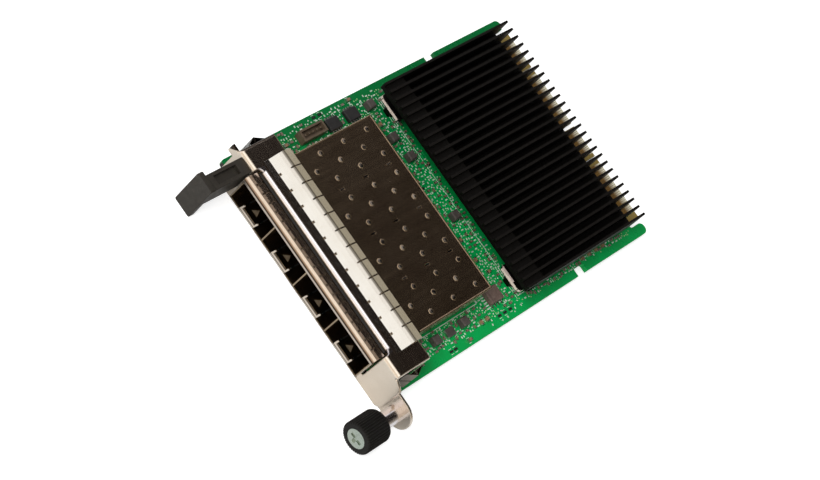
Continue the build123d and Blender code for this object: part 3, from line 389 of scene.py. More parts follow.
MATERIALS = {
    "board_green": make_moulded(
        "solder_mask_green", base=(2, 172, 84), other=(0, 148, 68), rough=(0.22, 0.34), scale=260.0,
        edge=0.00008, worn=(24, 190, 106), wear=0.15, bump=0.05,
    ),
    "contact_gold": make_moulded(
        "gold_plate", base=(140, 100, 34), other=(104, 70, 20), rough=(0.3, 0.42), scale=400.0,
        edge=0.00002, worn=(96, 66, 24), wear=0.3, bump=0.05, specular=0.8,
    ),
    "bracket_steel": make_metal(
        "bracket_nickel", base=(242, 232, 218), other=(230, 218, 202), rough=(0.13, 0.22),
        stretch=(0.08, 1.0, 1.0), streak_scale=1400.0, edge=0.0005, worn=(196, 182, 158),
    ),
    "spring_steel": make_metal(
        "spring_nickel", base=(222, 219, 213), other=(210, 205, 197), rough=(0.14, 0.24),
        stretch=(1.0, 0.1, 1.0), streak_scale=1600.0, edge=0.00006, worn=(204, 196, 182),
    ),
    "cage_steel": make_metal(
        "cage_nickel", base=(188, 170, 144), other=(152, 132, 108), rough=(0.2, 0.3),
        stretch=(1.0, 0.06, 1.0), streak_scale=1500.0, edge=0.0003, worn=(232, 222, 200), wear=0.12,
        bump=0.04,
    ),
    "connector_black": make_moulded(
        "connector_plastic", base=(18, 17, 16), other=(26, 24, 23), rough=(0.45, 0.6), scale=400.0,
        edge=0.00008, worn=(50, 46, 44),
    ),
    "sink_black": make_moulded(
        "black_anodise", base=(24, 21, 18), other=(34, 30, 26), rough=(0.42, 0.6), scale=500.0,
        edge=0.00008, worn=(70, 66, 60), wear=0.25, bump=0.25, specular=0.16,
    ),
    "screw_zinc": make_metal(
        "screw_zinc_plate", base=(198, 206, 196), other=(172, 186, 176), rough=(0.2, 0.36),
        stretch=(1.0, 1.0, 1.0), streak_scale=900.0, edge=0.0001, worn=(110, 116, 108), wear=0.5,
        bump=0.12,
    ),
    "chip_black": make_moulded(
        "epoxy_black", base=(22, 22, 23), other=(32, 32, 33), rough=(0.45, 0.6), scale=900.0, edge=0.00006,
        worn=(54, 54, 54), wear=0.2, bump=0.3,
    ),
    "pad_grey": make_moulded(
        "thermal_pad_grey", base=(128, 130, 132), other=(110, 112, 116), rough=(0.7, 0.85), scale=900.0,
        edge=0.00005, worn=(150, 150, 150),
    ),
    "tab_plastic": make_moulded(
        "tab_grey_plastic", base=(46, 43, 37), other=(36, 32, 28), rough=(0.45, 0.6), scale=500.0,
        edge=0.0002, worn=(74, 68, 58), wear=0.35, bump=0.4, specular=0.35,
    ),
    "knob_black": make_moulded(
        "knob_black_plastic", base=(13, 12, 11), other=(19, 18, 16), rough=(0.45, 0.6), scale=900.0,
        edge=0.00008, worn=(58, 58, 52), wear=0.3, bump=0.35, specular=0.2,
    ),
    "barrel_nickel": make_metal(
        "barrel_nickel_plate", base=(240, 236, 238), other=(226, 222, 222), rough=(0.16, 0.26),
        stretch=(1.0, 0.05, 1.0), streak_scale=1800.0, edge=0.0001, worn=(176, 170, 168),
    ),
    "inductor_brown": make_moulded(
        "inductor_ferrite", base=(62, 58, 56), other=(82, 76, 72), rough=(0.5, 0.7), scale=1200.0,
        edge=0.0001, worn=(120, 112, 104), wear=0.3, bump=0.4,
    ),
    "lead_tin": make_metal(
        "tinned_lead", base=(216, 216, 214), other=(190, 190, 190), rough=(0.25, 0.4),
        stretch=(1.0, 1.0, 1.0), streak_scale=1800.0, edge=0.00005, worn=(140, 140, 140),
    ),
    "capacitor_beige": make_moulded(
        "ceramic_beige", base=(150, 122, 92), other=(128, 100, 74), rough=(0.4, 0.55), scale=1400.0,
        edge=0.00004, worn=(176, 150, 120),
    ),
    "resistor_black": make_moulded(
        "resistor_glaze", base=(26, 26, 30), other=(40, 40, 44), rough=(0.25, 0.4), scale=1400.0,
        edge=0.00004, worn=(70, 70, 74),
    ),
    "collar": make_metal(
        "collar_nickel", base=(220, 204, 188), other=(202, 184, 164), rough=(0.16, 0.26),
        stretch=(1.0, 0.1, 1.0), streak_scale=1600.0, edge=0.00008, worn=(168, 148, 128),
    ),
    # Darker than the other nickel: painted shade on the side finger strips
    "side_spring": make_metal(
        "side_spring_nickel", base=(124, 112, 98), other=(98, 88, 76), rough=(0.2, 0.3),
        stretch=(1.0, 1.0, 0.1), streak_scale=1600.0, edge=0.00008, worn=(190, 176, 158),
    ),
    "ferrite_brown": make_moulded(
        "ferrite_brown", base=(116, 98, 90), other=(82, 66, 60), rough=(0.5, 0.7), scale=1500.0,
        edge=0.0001, worn=(150, 134, 122), wear=0.4, bump=0.4,
    ),
    "socket_brown": make_moulded(
        "socket_nylon", base=(78, 66, 54), other=(96, 82, 66), rough=(0.4, 0.55), scale=700.0, edge=0.00008,
        worn=(130, 114, 96),
    ),
}


def fade_to(material, colour, axis, start, end, half=1.0, other=None):
    """Turns the material's colour into another one along an axis, with patches of a second one if given.
    Start, end and half are in metres."""
    tree = material.node_tree
    shader = next(n for n in tree.nodes if n.type == "BSDF_PRINCIPLED")
    before = shader.inputs["Base Color"].links[0].from_socket
    mask = use(tree, "fade", (0, 4), Axis=axis, Start=start, End=end, Half=half)
    after = use(
        tree, "tint", (1, 5), Base=rgb(*colour), Other=rgb(*(other or colour)),
        Scale=PATCH_SCALE, Contrast=PATCH_CONTRAST,
    )
    mixed = node(
        tree, "ShaderNodeMix", (2, 3),
        {"Factor": mask.outputs["Mask"], 6: before, 7: after.outputs["Color"]}, data_type="RGBA",
    )
    tree.links.new(mixed.outputs[2], shader.inputs["Base Color"])


# Where a material changes its colour: slot, colour, axis, start and end along the axis, widest |x|. Lengths
# are in millimetres, and a later row covers an earlier one. The three slanted axes cross a rounded edge.
FRONT, REAR, LEFT, DOWN = (0.0, -1.0, 0.0), (0.0, 1.0, 0.0), (-1.0, 0.0, 0.0), (0.0, 0.0, -1.0)
COLLAR_NOSE, LEFT_BEND, LIP_BEND = (0.0, -0.7, -0.7), (-0.7, 0.0, 0.7), (0.0, -0.47, 0.88)
ANYWHERE = 1000.0
for slot, colour, axis, start, end, widest in [
    # Contacts: painted highlight at their free end; the darker gold nearer the fins is painted shade
    ("contact_gold", (255, 250, 226), REAR, 113.8, 116.3, ANYWHERE),
    # Collar: painted reflection as a brown nose, painted shade as a dark line along it, painted highlight on
    # its pale front
    ("collar", (160, 136, 116), FRONT, 2.3, 2.8, ANYWHERE),
    ("collar", (70, 60, 50), COLLAR_NOSE, -7.25, -7.08, ANYWHERE),
    ("collar", (205, 196, 184), COLLAR_NOSE, -6.88, -6.7, ANYWHERE),
    # Bracket: painted dark reflection on the left bend, a painted dark line and painted highlight rim at the
    # foot, painted highlight on the bend of the lip
    ("bracket_steel", (64, 56, 48), LEFT_BEND, 34.55, 34.7, ANYWHERE),
    ("bracket_steel", (84, 76, 70), DOWN, -0.88, -0.78, 28.6),
    ("bracket_steel", (232, 226, 218), DOWN, -0.6, -0.52, 28.6),
    ("bracket_steel", (250, 248, 252), LIP_BEND, 10.95, 11.1, 29.2),
    # Cage: painted shade on the edge of its floor
    ("cage_steel", (72, 65, 60), DOWN, -3.42, -3.38, ANYWHERE),
    # Board: painted shade to the left and on its front edge, bare laminate on the tongue
    ("board_green", (0, 112, 54), LEFT, -5.0, 34.0, ANYWHERE),
    ("board_green", (12, 18, 12), FRONT, -2.15, -2.05, ANYWHERE),
    ("board_green", (150, 128, 70), REAR, 108.6, 108.8, 34.0),
    # Heat sink: painted shade, darkest between its fins
    ("sink_black", (7, 6, 5), DOWN, -16.1, -13.6, ANYWHERE),
    # Finger strips: painted shade on the left one; the upper one has a painted dark reflection on its bend, a
    # painted highlight behind it and painted shade on its front edge
    ("side_spring", (34, 29, 24), LEFT, 0.0, 1.0, ANYWHERE),
    ("spring_steel", (128, 123, 114), REAR, 9.6, 10.0, ANYWHERE),
    ("spring_steel", (246, 240, 230), REAR, 10.6, 11.1, ANYWHERE),
    ("spring_steel", (40, 33, 27), FRONT, -4.1, -4.03, ANYWHERE),
]:
    fade_to(MATERIALS[slot], colour, axis, start * MM, end * MM, widest * MM)

# Every CAD node takes the material of its slot in the record, but for four with a material of their own; the
# collar's and the side finger strips' carry painted reflection and shade
slot_of = {part["node"]: part["material_slot"] for part in frame["record"]["subparts"]}
material_key_of = {
    **slot_of, "cage_front_springs": "collar", "flash_chip": "ferrite_brown",
    "side_finger_strip_left": "side_spring", "side_finger_strip_right": "side_spring",
}
for name, piece in nodes.items():
    piece.data.materials.clear()
    piece.data.materials.append(MATERIALS[material_key_of[name]])


# Places on the board, in millimetres, read from the CAD nodes. Its faces are looked at in square cells.


def box_mm(name):
    """Lowest and highest corner of a CAD node in millimetres."""
    low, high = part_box(name)
    return np.array(low) / MM, np.array(high) / MM


board_low, board_high = box_mm("circuit_board")
cage_low, cage_high = box_mm("cage_cover")
board_top, board_under = board_high[2], board_low[2]
CELL = 0.2
WIDE_TRIANGLE, BORDER = 12000, 2


def node_arrays(name):
    """A node's vertices in millimetres and its triangles."""
    mesh = nodes[name].data
    points = np.empty(len(mesh.vertices) * 3)
    mesh.vertices.foreach_get("co", points)
    mesh.calc_loop_triangles()
    corners = np.empty(len(mesh.loop_triangles) * 3, int)
    mesh.loop_triangles.foreach_get("vertices", corners)
    return points.reshape(-1, 3) / MM, corners.reshape(-1, 3)


# The cover's bumps, which rise over its sheet, are painted dark as painted shade, with painted glints on a
# few
cage_points = node_arrays("cage_cover")[0]
at_its_sides = np.abs(cage_points[:, 0]) > cage_high[0] - 0.05
cage_sheet = cage_points[at_its_sides, 2].max()
bump_foot, bump_body = cage_sheet + 0.06, cage_sheet + 0.1
fade_to(
    MATERIALS["cage_steel"], (34, 30, 27), (0.0, 0.0, 1.0), bump_foot * MM, bump_body * MM,
    other=(140, 132, 122),
)


def taken_cells(level, reach):
    """Grid of the board's face at that height: True where a CAD node stands on it or hangs close over it.
    Each triangle's rectangle of cells puts +1 and -1 at its corners, and the running sums count what covers
    a cell. Triangles over very many cells, such as a cover's, are left out."""
    shape = ((board_high - board_low)[:2] / CELL).astype(int) + 1
    marks = np.zeros(shape + 1, int)
    for name in nodes:
        if name == "circuit_board":
            continue
        points, triangles = node_arrays(name)
        low, high = points[triangles].min(1), points[triangles].max(1)
        near = (low[:, 2] <= level + reach) & (high[:, 2] >= level - reach)
        start = np.floor((low[near, :2] - board_low[:2]) / CELL).astype(int) - 1
        stop = np.ceil((high[near, :2] - board_low[:2]) / CELL).astype(int) + 1
        small = (stop - start).prod(1) < WIDE_TRIANGLE
        (i0, j0), (i1, j1) = np.clip(start[small], 0, shape).T, np.clip(stop[small], 0, shape).T
        for i, j, sign in ((i0, j0, 1), (i1, j1, 1), (i0, j1, -1), (i1, j0, -1)):
            np.add.at(marks, (i, j), sign)
    return marks.cumsum(0).cumsum(1)[:-1, :-1] > 0


def is_free(grid, x, y, half_x, half_y):
    """True if that rectangle of the board is inside it and untaken."""
    i0, j0 = int((x - half_x - board_low[0]) / CELL), int((y - half_y - board_low[1]) / CELL)
    i1, j1 = int((x + half_x - board_low[0]) / CELL) + 1, int((y + half_y - board_low[1]) / CELL) + 1
    if i0 < BORDER or j0 < BORDER or i1 > grid.shape[0] - BORDER or j1 > grid.shape[1] - BORDER:
        return False
    return not grid[i0:i1, j0:j1].any()


def take(grid, x, y, half_x, half_y):
    """Marks that rectangle of the board as taken."""
    i0, j0 = int((x - half_x - board_low[0]) / CELL), int((y - half_y - board_low[1]) / CELL)
    i1, j1 = int((x + half_x - board_low[0]) / CELL) + 1, int((y + half_y - board_low[1]) / CELL) + 1
    grid[max(i0, 0):i1, max(j0, 0):j1] = True


# Builders of the detail pieces


def add_piece(name, points, faces, slot, material, rides_on="card", stands_for=None):
    """A mesh piece from points in millimetres, riding on a body and perhaps standing for a CAD node."""
    mesh = bpy.data.meshes.new(name)
    mesh.from_pydata((np.asarray(points, float) * MM).tolist(), [], [list(f) for f in faces])
    mesh.materials.append(material)
    mesh.update()
    piece = bpy.data.objects.new(name, mesh)
    scene.collection.objects.link(piece)
    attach(piece, rides_on)
    if stands_for:
        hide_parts(stands_for)
    return piece


def prisms(outlines, low, high):
    """Closed upright prisms over flat outlines (counter-clockwise): every outline at both levels, corner i
    joined to the next one round by a wall. The levels may come in either order."""
    sizes = np.array([len(outline) for outline in outlines])
    flat = np.concatenate([np.asarray(outline, float) for outline in outlines])
    count, start = len(flat), np.repeat(np.cumsum(sizes) - sizes, sizes)
    i = np.arange(count)
    following = start + (i - start + 1) % np.repeat(sizes, sizes)
    points = np.concatenate([np.column_stack([flat, np.full(count, z)]) for z in sorted((low, high))])
    walls = np.stack([i, following, following + count, i + count], 1).tolist()
    ends = np.split(i, np.cumsum(sizes)[:-1])
    return points, walls + [end[::-1].tolist() for end in ends] + [(end + count).tolist() for end in ends]


def tube_faces(rings, sides, closed):
    """Quads from each ring of points to the next. If closed, the last ring joins the first; else both
    are capped."""
    i, j = np.meshgrid(np.arange(rings if closed else rings - 1), np.arange(sides), indexing="ij")
    k, m = (i + 1) % rings, (j + 1) % sides
    quads = np.stack([i * sides + j, k * sides + j, k * sides + m, i * sides + m], 2).reshape(-1, 4).tolist()
    if closed:
        return quads
    return quads + [list(range(sides)), list(range((rings - 1) * sides, rings * sides))[::-1]]


def bar(x0, y0, x1, y1, width):
    """The outline of a straight stroke from one point to another."""
    along = np.array([x1 - x0, y1 - y0], float)
    along /= np.linalg.norm(along)
    across = np.array([-along[1], along[0]]) * width / 2
    a, b = np.array([x0, y0]), np.array([x1, y1])
    return [a - across, b - across, b + across, a + across]


def block(x, y, half_x, half_y):
    """The outline of an upright rectangle."""
    left, right, near, far = x - half_x, x + half_x, y - half_y, y + half_y
    return [(left, near), (right, near), (right, far), (left, far)]


def disc(x, y, radius, sides=8):
    """The outline of a disc."""
    turns = np.arange(sides) * 2 * math.pi / sides
    return np.stack([x + radius * np.cos(turns), y + radius * np.sin(turns)], 1)


def turned_ring(profile, knurled, axis_x, axis_z, sides, ridges, depth):
    """A closed profile of (y, radius) turned about a line along Y. Where the profile is knurled, the radius
    dips by depth * (0.5 - 0.5 cos(ridges * angle)), which cuts that many rounded ridges."""
    turns = np.arange(sides) * 2 * math.pi / sides
    y, radius = np.array(profile).T
    dip = depth * (0.5 - 0.5 * np.cos(ridges * turns))
    reach = radius[:, None] - np.array(knurled, float)[:, None] * dip[None, :]
    points = np.stack([
        axis_x + reach * np.cos(turns), np.repeat(y[:, None], sides, 1), axis_z + reach * np.sin(turns),
    ], 2).reshape(-1, 3)
    return points, tube_faces(len(y), sides, closed=True)


def coil(axis_x, axis_z, start, end, radius, turns, wire, runs, sides):
    """A round wire along the helix (radius cos a, start + (end - start) t, radius sin a), where a is
    2 pi turns t and t goes from 0 to 1. Each ring is wire / 2 (cos b outward + sin b across)."""
    t = np.linspace(0, 1, runs + 1)
    a = 2 * math.pi * turns * t
    line = np.stack([axis_x + radius * np.cos(a), start + (end - start) * t, axis_z + radius * np.sin(a)], 1)
    outward = np.stack([np.cos(a), 0 * a, np.sin(a)], 1)
    forward = np.gradient(line, axis=0)
    forward /= np.linalg.norm(forward, axis=1)[:, None]
    across = np.cross(outward, forward)
    b = np.arange(sides) * 2 * math.pi / sides
    ring = np.cos(b)[None, :, None] * outward[:, None] + np.sin(b)[None, :, None] * across[:, None]
    points = line[:, None] + wire / 2 * ring
    return points.reshape(-1, 3), tube_faces(runs + 1, sides, closed=False)


def make_ink(name, colour, other, rough):
    """Print, plating and other thin coats: two cloudy tones and a little relief."""
    material, tree, shader = new_material(name)
    tint = use(tree, "tint", (-2, 1), Base=rgb(*colour), Other=rgb(*other), Scale=INK_CLOUD, Contrast=2.5)
    grain = use(tree, "grain", (-1, -1), Scale=INK_GRAIN, Strength=0.2, Edge=0.00002)
    gloss = spread_of(tree, (0, 0), tint.outputs["Cloud"], rough[0], rough[1])
    tree.links.new(tint.outputs["Color"], shader.inputs["Base Color"])
    tree.links.new(gloss, shader.inputs["Roughness"])
    tree.links.new(grain.outputs["Normal"], shader.inputs["Normal"])
    return material


PRINT_WHITE = make_ink("silkscreen_white", (226, 236, 226), (176, 206, 184), (0.5, 0.7))
TRACE_GREEN = make_ink("masked_copper", (34, 176, 96), (20, 150, 78), (0.2, 0.35))
PAD_TIN = make_ink("pad_tin", (224, 230, 220), (160, 186, 164), (0.3, 0.5))
VIA_GOLD = make_ink("via_gold", (190, 216, 164), (120, 176, 104), (0.3, 0.45))
MARK_BROWN = make_ink("ceramic_small", (132, 116, 98), (104, 88, 76), (0.45, 0.6))
PLATE_BEIGE = make_ink("latch_plate_steel", (122, 108, 88), (84, 74, 60), (0.35, 0.5))
BARE_EDGE = make_ink("bare_aluminium", (244, 226, 216), (214, 194, 184), (0.3, 0.45))

# Which cells of the board's two faces are taken, with the cage's floor area as one block
SEED, HEADROOM = 7, 0.7
rng = np.random.default_rng(SEED)
top_taken = taken_cells(board_top, HEADROOM)
under_taken = taken_cells(board_under, HEADROOM)
cage_middle, cage_half_width = (cage_low[0] + cage_high[0]) / 2, (cage_high[0] - cage_low[0]) / 2
cage_half_length, cage_margin = 24, 0.2
take(top_taken, cage_middle, cage_low[1] + cage_half_length, cage_half_width, cage_half_length + cage_margin)

# How often a place is tried for each small part, and the room left round it
TRIES_EACH, SPACING = 6, 0.15


def scatter(grid, count, zone, sizes):
    """Free rectangles in a zone (x0, y0, x1, y1), as (x, y, half_x, half_y), each marked as taken."""
    found = []
    for _ in range(count * TRIES_EACH):
        if len(found) == count:
            break
        half_x, half_y = sizes[rng.integers(len(sizes))]
        x, y = rng.uniform(zone[0], zone[2]), rng.uniform(zone[1], zone[3])
        x, y = round(x / CELL) * CELL, round(y / CELL) * CELL
        if is_free(grid, x, y, half_x + SPACING, half_y + SPACING):
            take(grid, x, y, half_x, half_y)
            found.append((x, y, half_x, half_y))
    return found


# Silkscreen: outlines of the cage and heat sink, brackets round the parts, short dashes
PRINT_HEIGHT, TRACE_HEIGHT, PAD_HEIGHT, VIA_HEIGHT = 0.03, 0.012, 0.04, 0.02
PART_HEIGHT, END_HEIGHT = 0.35, 0.37
THIN, PLAIN, WIDE, BOLD = 0.15, 0.2, 0.22, 0.25
cage_front, cage_side, cage_back = 14.0, cage_high[0] + 0.7, cage_high[1] + 0.7
sink_side, sink_front, sink_back, lug_start, gap_half = 33.4, 60.2, 107.5, 24.0, 23.0
front_line, line_start, line_end = 59.4, 23.4, 34.0
strokes = []
for side in (-1, 1):
    strokes.append(bar(side * cage_side, cage_front, side * cage_side, cage_back, WIDE))
    strokes.append(bar(side * sink_side, sink_front, side * sink_side, sink_back, PLAIN))
    strokes.append(bar(side * lug_start, sink_front, side * sink_side, sink_front, BOLD))
    strokes.append(bar(side * line_start, front_line, side * line_end, front_line, THIN))
strokes.append(bar(-cage_side, cage_back, cage_side, cage_back, WIDE))
strokes.append(bar(-gap_half, sink_front, gap_half, sink_front, THIN))


def islands(name):
    """Centres and half sizes of the separate solids of a node. Corners at one place share a label, and every
    triangle hands its lowest label to its corners until nothing changes."""
    points, triangles = node_arrays(name)
    place = np.unique(np.round(points, 3), axis=0, return_inverse=True)[1].reshape(-1)
    corners = place[triangles]
    label, before = np.arange(corners.max() + 1), None
    while before is None or (before != label).any():
        before = label.copy()
        np.minimum.at(label, corners, np.repeat(label[corners].min(1)[:, None], 3, 1))
    owner = label[place]
    boxes = [(points[owner == k].min(0), points[owner == k].max(0)) for k in np.unique(owner)]
    return [((low + high) / 2, (high - low) / 2) for low, high in boxes]


BRACKET_ARM, BRACKET_WIDTH, BRACKET_MARGIN = 0.8, 0.16, 0.35
DOT_AWAY, DOT_RADIUS = 0.4, 0.22
for name, gap in (("power_inductors", 0.45), ("regulators", 0.9), ("flash_chip", 1.4), ("oscillator", 0.4)):
    for centre, half in islands(name):
        x, y = centre[:2]
        hx, hy = half[0] + gap, half[1] + BRACKET_MARGIN
        for sx in (-1, 1):
            for sy in (-1, 1):
                corner = (x + sx * hx, y + sy * hy)
                strokes.append(bar(*corner, x + sx * (hx - BRACKET_ARM), corner[1], BRACKET_WIDTH))
                strokes.append(bar(*corner, corner[0], y + sy * (hy - BRACKET_ARM), BRACKET_WIDTH))
        strokes.append(disc(x - hx - DOT_AWAY, y - hy, DOT_RADIUS))
DASH_HALF, DASH_AWAY, DASH_WIDTH = 0.5, 0.75, 0.14
for name in ("capacitors", "resistors"):
    for centre, half in islands(name):
        x, y = centre[:2]
        lies_across = half[0] >= half[1]
        for s in (-DASH_AWAY, DASH_AWAY):
            if lies_across:
                strokes.append(bar(x - DASH_HALF, y + s, x + DASH_HALF, y + s, DASH_WIDTH))
            else:
                strokes.append(bar(x + s, y - DASH_HALF, x + s, y + DASH_HALF, DASH_WIDTH))
# Pale marks in front of and behind the memory chip's leads
first_lead, lead_pitch, lead_count = 27.9, 0.85, 6
for near, far, width in ((48.2, 49.7, 0.36), (53.2, 54.4, 0.3)):
    for k in range(lead_count):
        x = first_lead + lead_pitch * k
        strokes.append(bar(x, near, x, far, width))
add_piece("board_print", *prisms(strokes, board_top, board_top + PRINT_HEIGHT), "capacitor_beige",
          PRINT_WHITE)

# Traces, routed before anything else is put on the board, in zones of (x0, y0, x1, y1, vias)
via_zones = [
    (-36.0, 46.0, 34.5, 62.0, 240), (29.4, 4.0, 34.5, 46.0, 90), (-36.0, 14.0, -29.4, 46.0, 80),
    (34.2, 60.0, 35.6, 110.0, 40), (-35.6, 60.0, -34.2, 110.0, 40),
]
VIAS_PER_TRACE, TRIES_PER_TRACE, LEGS = 3, 8, 3
TRACE_WIDTH, UNDER_TRACE_WIDTH, TRACE_ROOM, LOOKS_PER_LEG = 0.14, 0.16, 0.1, 9
FIRST_LEG, SLANT, LAST_LEG = (1.5, 6.0), (0.5, 2.0), (1.0, 6.0)


def routes(grid, count, zone, width):
    """Traces over free board: straight, then at 45 degrees for a while, then straight again."""
    made = []
    for _ in range(count * TRIES_PER_TRACE):
        if len(made) >= count * LEGS:
            break
        x, y = rng.uniform(zone[0], zone[2]), rng.uniform(zone[1], zone[3])
        step = rng.choice([-1, 1])
        first, turn, last = rng.uniform(*FIRST_LEG), rng.uniform(*SLANT), rng.uniform(*LAST_LEG)
        ahead = np.array([0.0, first, first + turn, first + turn + last])
        aside = np.array([0.0, 0.0, step * turn, step * turn])
        if rng.random() < 0.5:
            path = list(zip(x + ahead, y + aside))
        else:
            path = list(zip(x + aside, y + ahead))
        clear = all(
            zone[0] < px < zone[2] and zone[1] < py < zone[3]
            and is_free(grid, px, py, TRACE_ROOM, TRACE_ROOM)
            for a, b in zip(path, path[1:])
            for px, py in np.linspace(a, b, LOOKS_PER_LEG)
        )
        if clear:
            made += [bar(*a, *b, width) for a, b in zip(path, path[1:])]
    return made


traces = []
for *zone, count in via_zones:
    traces += routes(top_taken, count // VIAS_PER_TRACE, zone, TRACE_WIDTH)
add_piece("board_traces_top", *prisms(traces, board_top, board_top + TRACE_HEIGHT), "board_green",
          TRACE_GREEN)

# Small parts and pads where the photograph shows the board crowded, in zones of (x0, y0, x1, y1, count)
zones = [
    (-36.5, 46.2, 37.0, 60.0, 230),
    (29.4, 15.0, 34.8, 46.5, 120),
    (-37.0, 14.5, -29.4, 46.5, 90),
    (34.2, 62.0, 35.4, 106.0, 90),
    (-35.4, 62.0, -34.2, 106.0, 60),
    (-30.0, 54.5, 33.5, 61.5, 260),
]
CHIP_SIZES = [(0.55, 0.3), (0.3, 0.55)]
PAD_SIZES = [(0.2, 0.2), (0.35, 0.2), (0.2, 0.45)]
PADS_PER_PART, PAD_SHARE = 5, 0.9


def chip_outlines(spots, body_share, end_inset, end_half):
    """Outlines of small parts at (x, y, half_x, half_y): one body each, and its two ends."""
    bodies, ends = [], []
    for x, y, hx, hy in spots:
        lies_across = hx > hy
        share_x, share_y = (body_share, 1) if lies_across else (1, body_share)
        bodies.append(block(x, y, hx * share_x, hy * share_y))
        for s in (-1, 1):
            shift_x, shift_y = (s * (hx - end_inset), 0) if lies_across else (0, s * (hy - end_inset))
            half_x, half_y = (end_half, hy) if lies_across else (hx, end_half)
            ends.append(block(x + shift_x, y + shift_y, half_x, half_y))
    return bodies, ends


pads, chips, caps = [], [], []
for *zone, count in zones:
    spots = scatter(top_taken, count // PADS_PER_PART, zone, CHIP_SIZES)
    bodies, ends = chip_outlines(spots, body_share=0.62, end_inset=0.1, end_half=0.12)
    chips, caps = chips + bodies, caps + ends
    for x, y, hx, hy in scatter(top_taken, count, zone, PAD_SIZES):
        pads.append(block(x, y, hx * PAD_SHARE, hy * PAD_SHARE))
add_piece("board_pads", *prisms(pads, board_top, board_top + PAD_HEIGHT), "lead_tin", PAD_TIN)
add_piece("small_part_bodies", *prisms(chips, board_top, board_top + PART_HEIGHT), "inductor_brown",
          MARK_BROWN)
add_piece("small_part_ends", *prisms(caps, board_top, board_top + END_HEIGHT), "lead_tin",
          MATERIALS["lead_tin"])

VIA_SIZES = [(0.2, 0.2)]
VIA_RADIUS, VIA_SPREAD, UNDER_VIA_RADIUS = 0.17, 0.06, 0.19
vias = []
for *zone, count in via_zones:
    for x, y, _, _ in scatter(top_taken, count, zone, VIA_SIZES):
        vias.append(disc(x, y, VIA_RADIUS + VIA_SPREAD * rng.random()))
add_piece("board_vias_top", *prisms(vias, board_top, board_top + VIA_HEIGHT), "contact_gold", VIA_GOLD)

# The underside: small parts, vias and traces as on any such board
under_zone = (-36.5, 15.0, 36.5, 106.0)
part_count, under_via_count, under_trace_count = 90, 520, 130
WIDE_CHIP = (0.8, 0.45)
spots = scatter(under_taken, part_count, under_zone, CHIP_SIZES + [WIDE_CHIP])
bodies, ends = chip_outlines(spots, body_share=0.6, end_inset=0.12, end_half=0.14)
add_piece("under_part_bodies", *prisms(bodies, board_under, board_under - PART_HEIGHT), "inductor_brown",
          MARK_BROWN)
add_piece("under_part_ends", *prisms(ends, board_under, board_under - END_HEIGHT), "lead_tin",
          MATERIALS["lead_tin"])
spots = scatter(under_taken, under_via_count, under_zone, VIA_SIZES)
under_vias = [disc(x, y, UNDER_VIA_RADIUS) for x, y, _, _ in spots]
add_piece("board_vias_under", *prisms(under_vias, board_under, board_under - VIA_HEIGHT), "contact_gold",
          VIA_GOLD)
under_traces = routes(under_taken, under_trace_count, under_zone, UNDER_TRACE_WIDTH)
add_piece("board_traces_under", *prisms(under_traces, board_under, board_under - TRACE_HEIGHT), "board_green",
          TRACE_GREEN)

# Black sheet under the front of the cage as painted shade in its slits, plates seen through its latch holes,
# a dark strip behind the collar as painted shade in the gap
slit_shade = block(x=0, y=5.3, half_x=27.9, half_y=3.25)
slit_shade_low, slit_shade_high = board_top + 0.005, board_top + 0.03
add_piece("cage_slit_shade", *prisms([slit_shade], slit_shade_low, slit_shade_high), "connector_black", MATERIALS["connector_black"])
port_pitch, port_count = 14.25, 4
port_middles = [(k - (port_count - 1) / 2) * port_pitch for k in range(port_count)]
plates = [block(x, y=2.35, half_x=1.5, half_y=1.7) for x in port_middles]
plate_low, plate_high = board_top + 0.05, board_top + 0.1
add_piece("latch_plates", *prisms(plates, plate_low, plate_high), "spring_steel", PLATE_BEIGE)
gap_shade = block(x=0, y=2.02, half_x=28.1, half_y=0.33)
gap_shade_low, gap_shade_high = cage_high[2] + 0.02, cage_high[2] + 0.12
add_piece("window_gap_shade", *prisms([gap_shade], gap_shade_low, gap_shade_high), "connector_black",
          MATERIALS["connector_black"])

# Rounded bends along the cage's top edges: a closed profile of (outward, up) carried from the front of one
# side round the rear to the front of the other, mitred at the two corners
cage_edge, cage_end = cage_high[:2]
bend_start = 16.2
bend = np.array([
    (-0.55, 0.005), (-0.35, 0.05), (-0.12, 0.03), (0.02, -0.12), (0.03, -0.45),
    (-0.03, -0.45), (-0.08, -0.08), (-0.55, -0.03),
])
side, y = np.array([(-1, bend_start), (-1, cage_end), (1, cage_end), (1, bend_start)]).T[:, :, None]
bend_points = np.stack([
    side * (cage_edge + bend[:, 0]), y + (y == cage_end) * bend[:, 0], cage_sheet + bend[:, 1] + 0 * y,
], 2)
add_piece("cage_bends", bend_points.reshape(-1, 3), tube_faces(4, len(bend), closed=False), "cage_steel",
          MATERIALS["cage_steel"])

# Bare rims round the front of the heat sink's two lugs, and a bare strip on the right one
rim = [(25.0, 58.47), (31.8, 58.47), (32.5, 58.7), (32.92, 59.1), (33.03, 59.7), (33.03, 61.8)]
lug_low, lug_top, rim_wall, strip_depth = 5.4, 6.37, 0.05, 0.019
rims = [bar(s * a[0], a[1], s * b[0], b[1], rim_wall) for s in (1, -1) for a, b in zip(rim, rim[1:])]
strip = block(x=27.3, y=58.82, half_x=2.6, half_y=0.3)
rim_points, rim_faces = prisms(rims, lug_low, lug_top)
strip_points, strip_faces = prisms([strip], lug_top - strip_depth, lug_top)
faces = rim_faces + [[i + len(rim_points) for i in face] for face in strip_faces]
add_piece("lug_rims", np.concatenate([rim_points, strip_points]), faces, "sink_black", BARE_EDGE)

